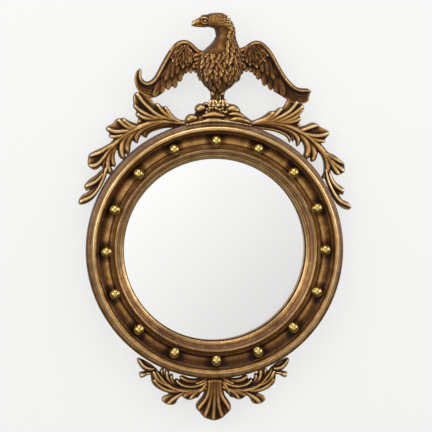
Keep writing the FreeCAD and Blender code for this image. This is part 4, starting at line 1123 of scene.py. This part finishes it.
def spreadWing(name, spans, shoulder, material, replaced):
    table = smoothRoute(spans, 70)

    def spot(span, chord):
        row = [np.interp(span, np.linspace(0, 1, len(table)), table[:, k]) for k in range(4)]
        return (row[0] + (row[2] - row[0]) * chord, row[1] + (row[3] - row[1]) * chord)

    carving = Carving()
    shape = [(0.02, 0.16), (0.0, 0.30), (0.06, 0.36), (0.2, 0.26), (0.5, 0.18), (0.85, 0.12), (0.93, 0.0),
             (0.93, -0.22), (0.88, -0.36), (0.5, -0.46), (0.2, -0.50), (0.05, -0.38), (0.0, -0.10)]
    rows = []
    for share in np.linspace(0, 0.965, 60):
        thick = np.interp(share, (0, 1), wing["thick"])
        rows.append([(*spot(share, chord), out * thick) for chord, out in shape])
    carving.rings([[(x, -(wing["depth"] + out), z) for x, z, out in row] for row in rows])
    base = wing["depth"] - 1.0
    leading = []
    for share in np.linspace(0.03, 1.0, 16):
        (x0, z0), (x1, z1) = spot(share, 0.0), spot(share, 1.0)
        chord = max(math.hypot(x1 - x0, z1 - z0), 1.0)
        leading.append(spot(share, min(wing["band"] * 0.5, chord * 0.36) / chord))
    widths = [wing["band"]] * 12 + [wing["band"] * 0.9, wing["band"] * 0.75, wing["band"] * 0.6]
    carving.lobe(leading, widths, plumpSection, base - 6.0, 16.0, tip=0.05, count=60)
    for many, rootA, rootB, tipA, tipB, widths, rise in featherRowsOnWing:
        for share in np.linspace(0, 1, many):
            root = np.array(rootA) * (1 - share) + np.array(rootB) * share
            tip = np.array(tipA) * (1 - share) + np.array(tipB) * share
            route = [spot(*(root + (tip - root) * step)) for step in (0.0, 0.33, 0.66, 1.0)]
            carving.lobe(route, widths, featherSection, base - 4.0, rise, lift=(0.0, 2.0), tip=0.25,
                         count=26)
    way = 1 if spans[-1][0] < 0 else -1
    x, z = shoulder
    wide, proud = shoulderFeathers["dome"]
    carving.lobe([(x, z + 17), (x, z), (x, z - 17)], [14, wide, 14], plumpSection, base - 4.0, proud,
                 tip=0.4, base=0.4)
    random = np.random.default_rng(shoulderFeathers["seed"])
    for k in range(shoulderFeathers["count"]):  # from the rim of the shoulder inwards, each over the last
        share = 1 - k / shoulderFeathers["count"]
        turn = 2.4 * k  # near the golden angle, so that no rows form
        spoke = np.array([math.cos(turn), math.sin(turn)])
        along = spoke * 0.55 + (-0.25 * way, -0.85) + random.normal(0, 0.12, 2)
        along /= np.linalg.norm(along)
        root = np.array([x, z + 5]) + spoke * shoulderFeathers["reach"] * 0.72 * share ** 0.6
        size = random.uniform(0.72, 1.0)
        out = base + 7.2 + 2.4 * (1 - share)
        carving.rings([[(root[0] + size * (wide * along[1] + run * along[0]), -(out + size * high),
                         root[1] + size * (run * along[1] - wide * along[0])) for wide, run, high in row]
                       for row in scaleRows()])
    return place(fuse(carving.object(name), wing["voxel"], smoothing=1), material, "gilt_eagle", replaced)


place(featheredBird(), gilt, "gilt_eagle", ["eagle_body"])
spreadWing("eagleWingLeft", leftSpans, wing["leftShoulder"], giltNearWing, ["eagle_wing_left"])
spreadWing("eagleWingRight", rightSpans, wing["rightShoulder"], giltFarWing, ["eagle_wing_right"])
print("eagle carved")


# rock under the eagle

rock = {"middle": 29.5, "voxel": 0.8, "pebbles": 26, "seed": 7}
rockLayers = [  # height above the ring, left, right, half depth
    (-16, -58, 69, 18.4), (1, -57, 68, 18.5), (5, -54, 63, 18.5), (9, -48, 57, 18.2), (13, -40, 49, 17.5),
    (19, -36, 45, 16.0), (26, -31, 39, 15.5), (31, -25, 32, 14.5), (33, -18, 25, 12.0),
]
rockLumps = [  # route across and up from the ring, widths, how proud
    ([(-32, -1), (-6, 3), (23, -1)], [9, 16, 9], 20.0),
    ([(-30, 9), (-5, 13.5), (21, 9)], [9, 16, 8], 20.5), ([(20, 2), (44, 5), (67, -4)], [9, 14, 6], 20.0),
    ([(19, 13), (38, 14), (57, 5)], [8, 13, 6], 19.5),
    ([(-57, 0), (-46, 7), (-33, 6)], [10, 16, 11], 20.0),
    ([(18, 21), (30, 24), (46, 16)], [11, 17, 9], 19.0),
    ([(-38, 19), (-30, 25), (-18, 26)], [11, 17, 11], 19.0),
    ([(-24, 32), (-18, 33), (-12, 32)], [5, 7, 5], 16.0),
]


def carvedRock():
    carving = Carving()
    rows = []
    for height, left, right, deep in smoothRoute(rockLayers, 26):
        row = []
        for t in np.linspace(0, 2 * math.pi, 64, endpoint=False):
            c, s = math.cos(t), math.sin(t)
            out = deep * (1 + 0.03 * math.sin(5 * t + height * 0.4)) * math.copysign(abs(s) ** 0.7, s)
            row.append(((left + right) / 2 + (right - left) / 2 * math.copysign(abs(c) ** 0.8, c),
                        -(rock["middle"] + out), ring["radius"] + height))
        rows.append(row)
    carving.rings(rows)
    for route, widths, proud in rockLumps:
        spots = [(x, ring["radius"] + h) for x, h in route]
        carving.lobe(spots, widths, plumpSection, rock["middle"] + 2, proud, tip=0.3, base=0.3)
    random = np.random.default_rng(rock["seed"])
    for k in range(rock["pebbles"]):
        x = -18 + 44 * k / (rock["pebbles"] - 1) + random.normal(0, 0.8)
        size, out = random.uniform(1.8, 3.0), random.uniform(44, 46.5)
        ball(carving, x, out, ring["radius"] + random.uniform(17, 27) - abs(x - 2) * 0.1, size)
    return fuse(carving.object("eagleRock"), rock["voxel"], smoothing=2, cutter=cutter, solver="EXACT")


place(carvedRock(), gilt, "gilt_rock", ["rock_plinth"])


# CAD pieces that stay, with their finishes

kept = {
    "backboard": board, "glass_spacer": paper, "hanger_strap_left": steel, "hanger_strap_right": steel,
    "hanger_ring_left": steel, "hanger_ring_right": steel, "hanger_screws": steel,
    "turn_button_screws": steel, "crest_spray_dowels": peg, "apron_dowels": peg, "plinth_dowels": peg,
    "leg_dowels": peg, "wing_dowels": peg,
}
for number in range(1, 5):
    kept["turn_button_%d" % number] = buttonBrass
for node, material in kept.items():
    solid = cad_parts[node]
    solid.data.materials.clear()
    solid.data.materials.append(material)


# wall, world, lamps and camera

def wallFinish():
    sheet = Sheet(bpy.data.materials.new("paleWall"))
    lit = sheet.node("BsdfDiffuse", None, {"Color": (0.94, 0.94, 0.925, 1.0)})
    seen = sheet.node("LightPath", None, None, out="Is Camera Ray")
    glow = sheet.node("Emission", None, {"Color": (0.945, 0.945, 0.938, 1.0), "Strength": seen})
    wall = sheet.node("MixShader", None, {0: 0.74, 1: lit, 2: glow})
    clear = sheet.node("BsdfTransparent")
    behind = sheet.node("NewGeometry", None, None, out="Backfacing")
    return sheet.finish(sheet.node("MixShader", None, {0: behind, 1: wall, 2: clear}))


def wallPanel():
    work = bmesh.new()
    bmesh.ops.create_circle(work, cap_ends=True, segments=96, radius=2.5)
    bmesh.ops.rotate(work, verts=work.verts, cent=(0, 0, 0), matrix=Matrix.Rotation(math.pi / 2, 3, "X"))
    bmesh.ops.translate(work, verts=work.verts, vec=(0, 0.001, 0.06))
    mesh = bpy.data.meshes.new("wall")
    work.to_mesh(mesh)
    work.free()
    made = addObject("wall", mesh)
    mesh.materials.append(wallFinish())
    made.visible_diffuse = False
    made.visible_glossy = False
    made.visible_shadow = False
    return made


wallPanel()

studio = {  # world strengths: ambient on the object, seen by the camera, and in reflections
    "ambient": 0.48, "camera": 0.94,
    "ahead": 0.925, "lean": 0.17, "behind": 0.30, "beside": 0.10, "above": 0.22,
    "lampDistance": 2.2, "lampAim": (0, 0, 0.05),
    "lamps": [  # name, azimuth, elevation, width and height, watts
        ("topSoftbox", -8, 62, (1.6, 1.0), 16), ("leftSoftbox", -52, 14, (1.4, 1.4), 14),
        ("rightSoftbox", 62, 16, (1.2, 1.4), 15),
    ],
}
world = bpy.data.worlds.new("studio")
bpy.context.scene.world = world
air = Sheet(world)
path = {name: air.node("LightPath", None, None, out=name)
        for name in ("Is Camera Ray", "Is Glossy Ray", "Is Transmission Ray")}
way = air.node("TexCoord", None, None, out="Generated")
sideways = air.node("SeparateXYZ", None, {0: way}, out="X")
upward = air.node("SeparateXYZ", None, {0: way}, out="Z")
ahead = air.node("SeparateXYZ", None, {0: way}, out="Y") * -1.0
frontal = ahead.between(0.62, 0.80)
behind = 1.0 - ahead.between(-0.25, 0.15)
shine = frontal * (studio["ahead"] - sideways * studio["lean"] + upward * studio["lean"])
shine = shine + behind * studio["behind"]
shine = shine + (1.0 - frontal) * (studio["beside"] + upward.between(-0.2, 0.7) * studio["above"])
reflected = (path["Is Glossy Ray"] + path["Is Transmission Ray"]).clamped()
plain = 1.0 - (path["Is Camera Ray"] + reflected).clamped()
strength = path["Is Camera Ray"] * studio["camera"] + reflected * shine + plain * studio["ambient"]
glow = air.node("Background", None, {"Color": (1.0, 1.0, 0.995, 1.0), "Strength": strength})
air.finish(glow, "OutputWorld")


def towards(azimuth, elevation):
    a, e = math.radians(azimuth), math.radians(elevation)
    return Vector((math.sin(a) * math.cos(e), -math.cos(a) * math.cos(e), math.sin(e)))


def stand(name, data, aim, way, distance):  # a lamp or camera that looks at aim from along way
    made = addObject(name, data)
    made.location = Vector(aim) + way * distance
    made.rotation_mode = "QUATERNION"
    made.rotation_quaternion = way.to_track_quat("Z", "Y")
    return made


for name, azimuth, elevation, size, watts in studio["lamps"]:
    lamp = bpy.data.lights.new(name, "AREA")
    lamp.shape = "RECTANGLE"
    lamp.size, lamp.size_y = size
    lamp.energy = watts
    stand(name, lamp, studio["lampAim"], towards(azimuth, elevation), studio["lampDistance"])

camera = {
    "azimuth": -6.5, "elevation": 4.5, "distance": 6.0, "aim": (0.0015, -0.03, 0.0640), "width": 0.804,
}
lens = bpy.data.cameras.new("camera")
lens.sensor_width = 36.0
lens.lens = lens.sensor_width * camera["distance"] / camera["width"]
view = towards(camera["azimuth"], camera["elevation"])
bpy.context.scene.camera = stand("camera", lens, camera["aim"], view, camera["distance"])
bpy.context.scene.view_settings.view_transform = "Standard"

bpy.data.objects.remove(cutter)
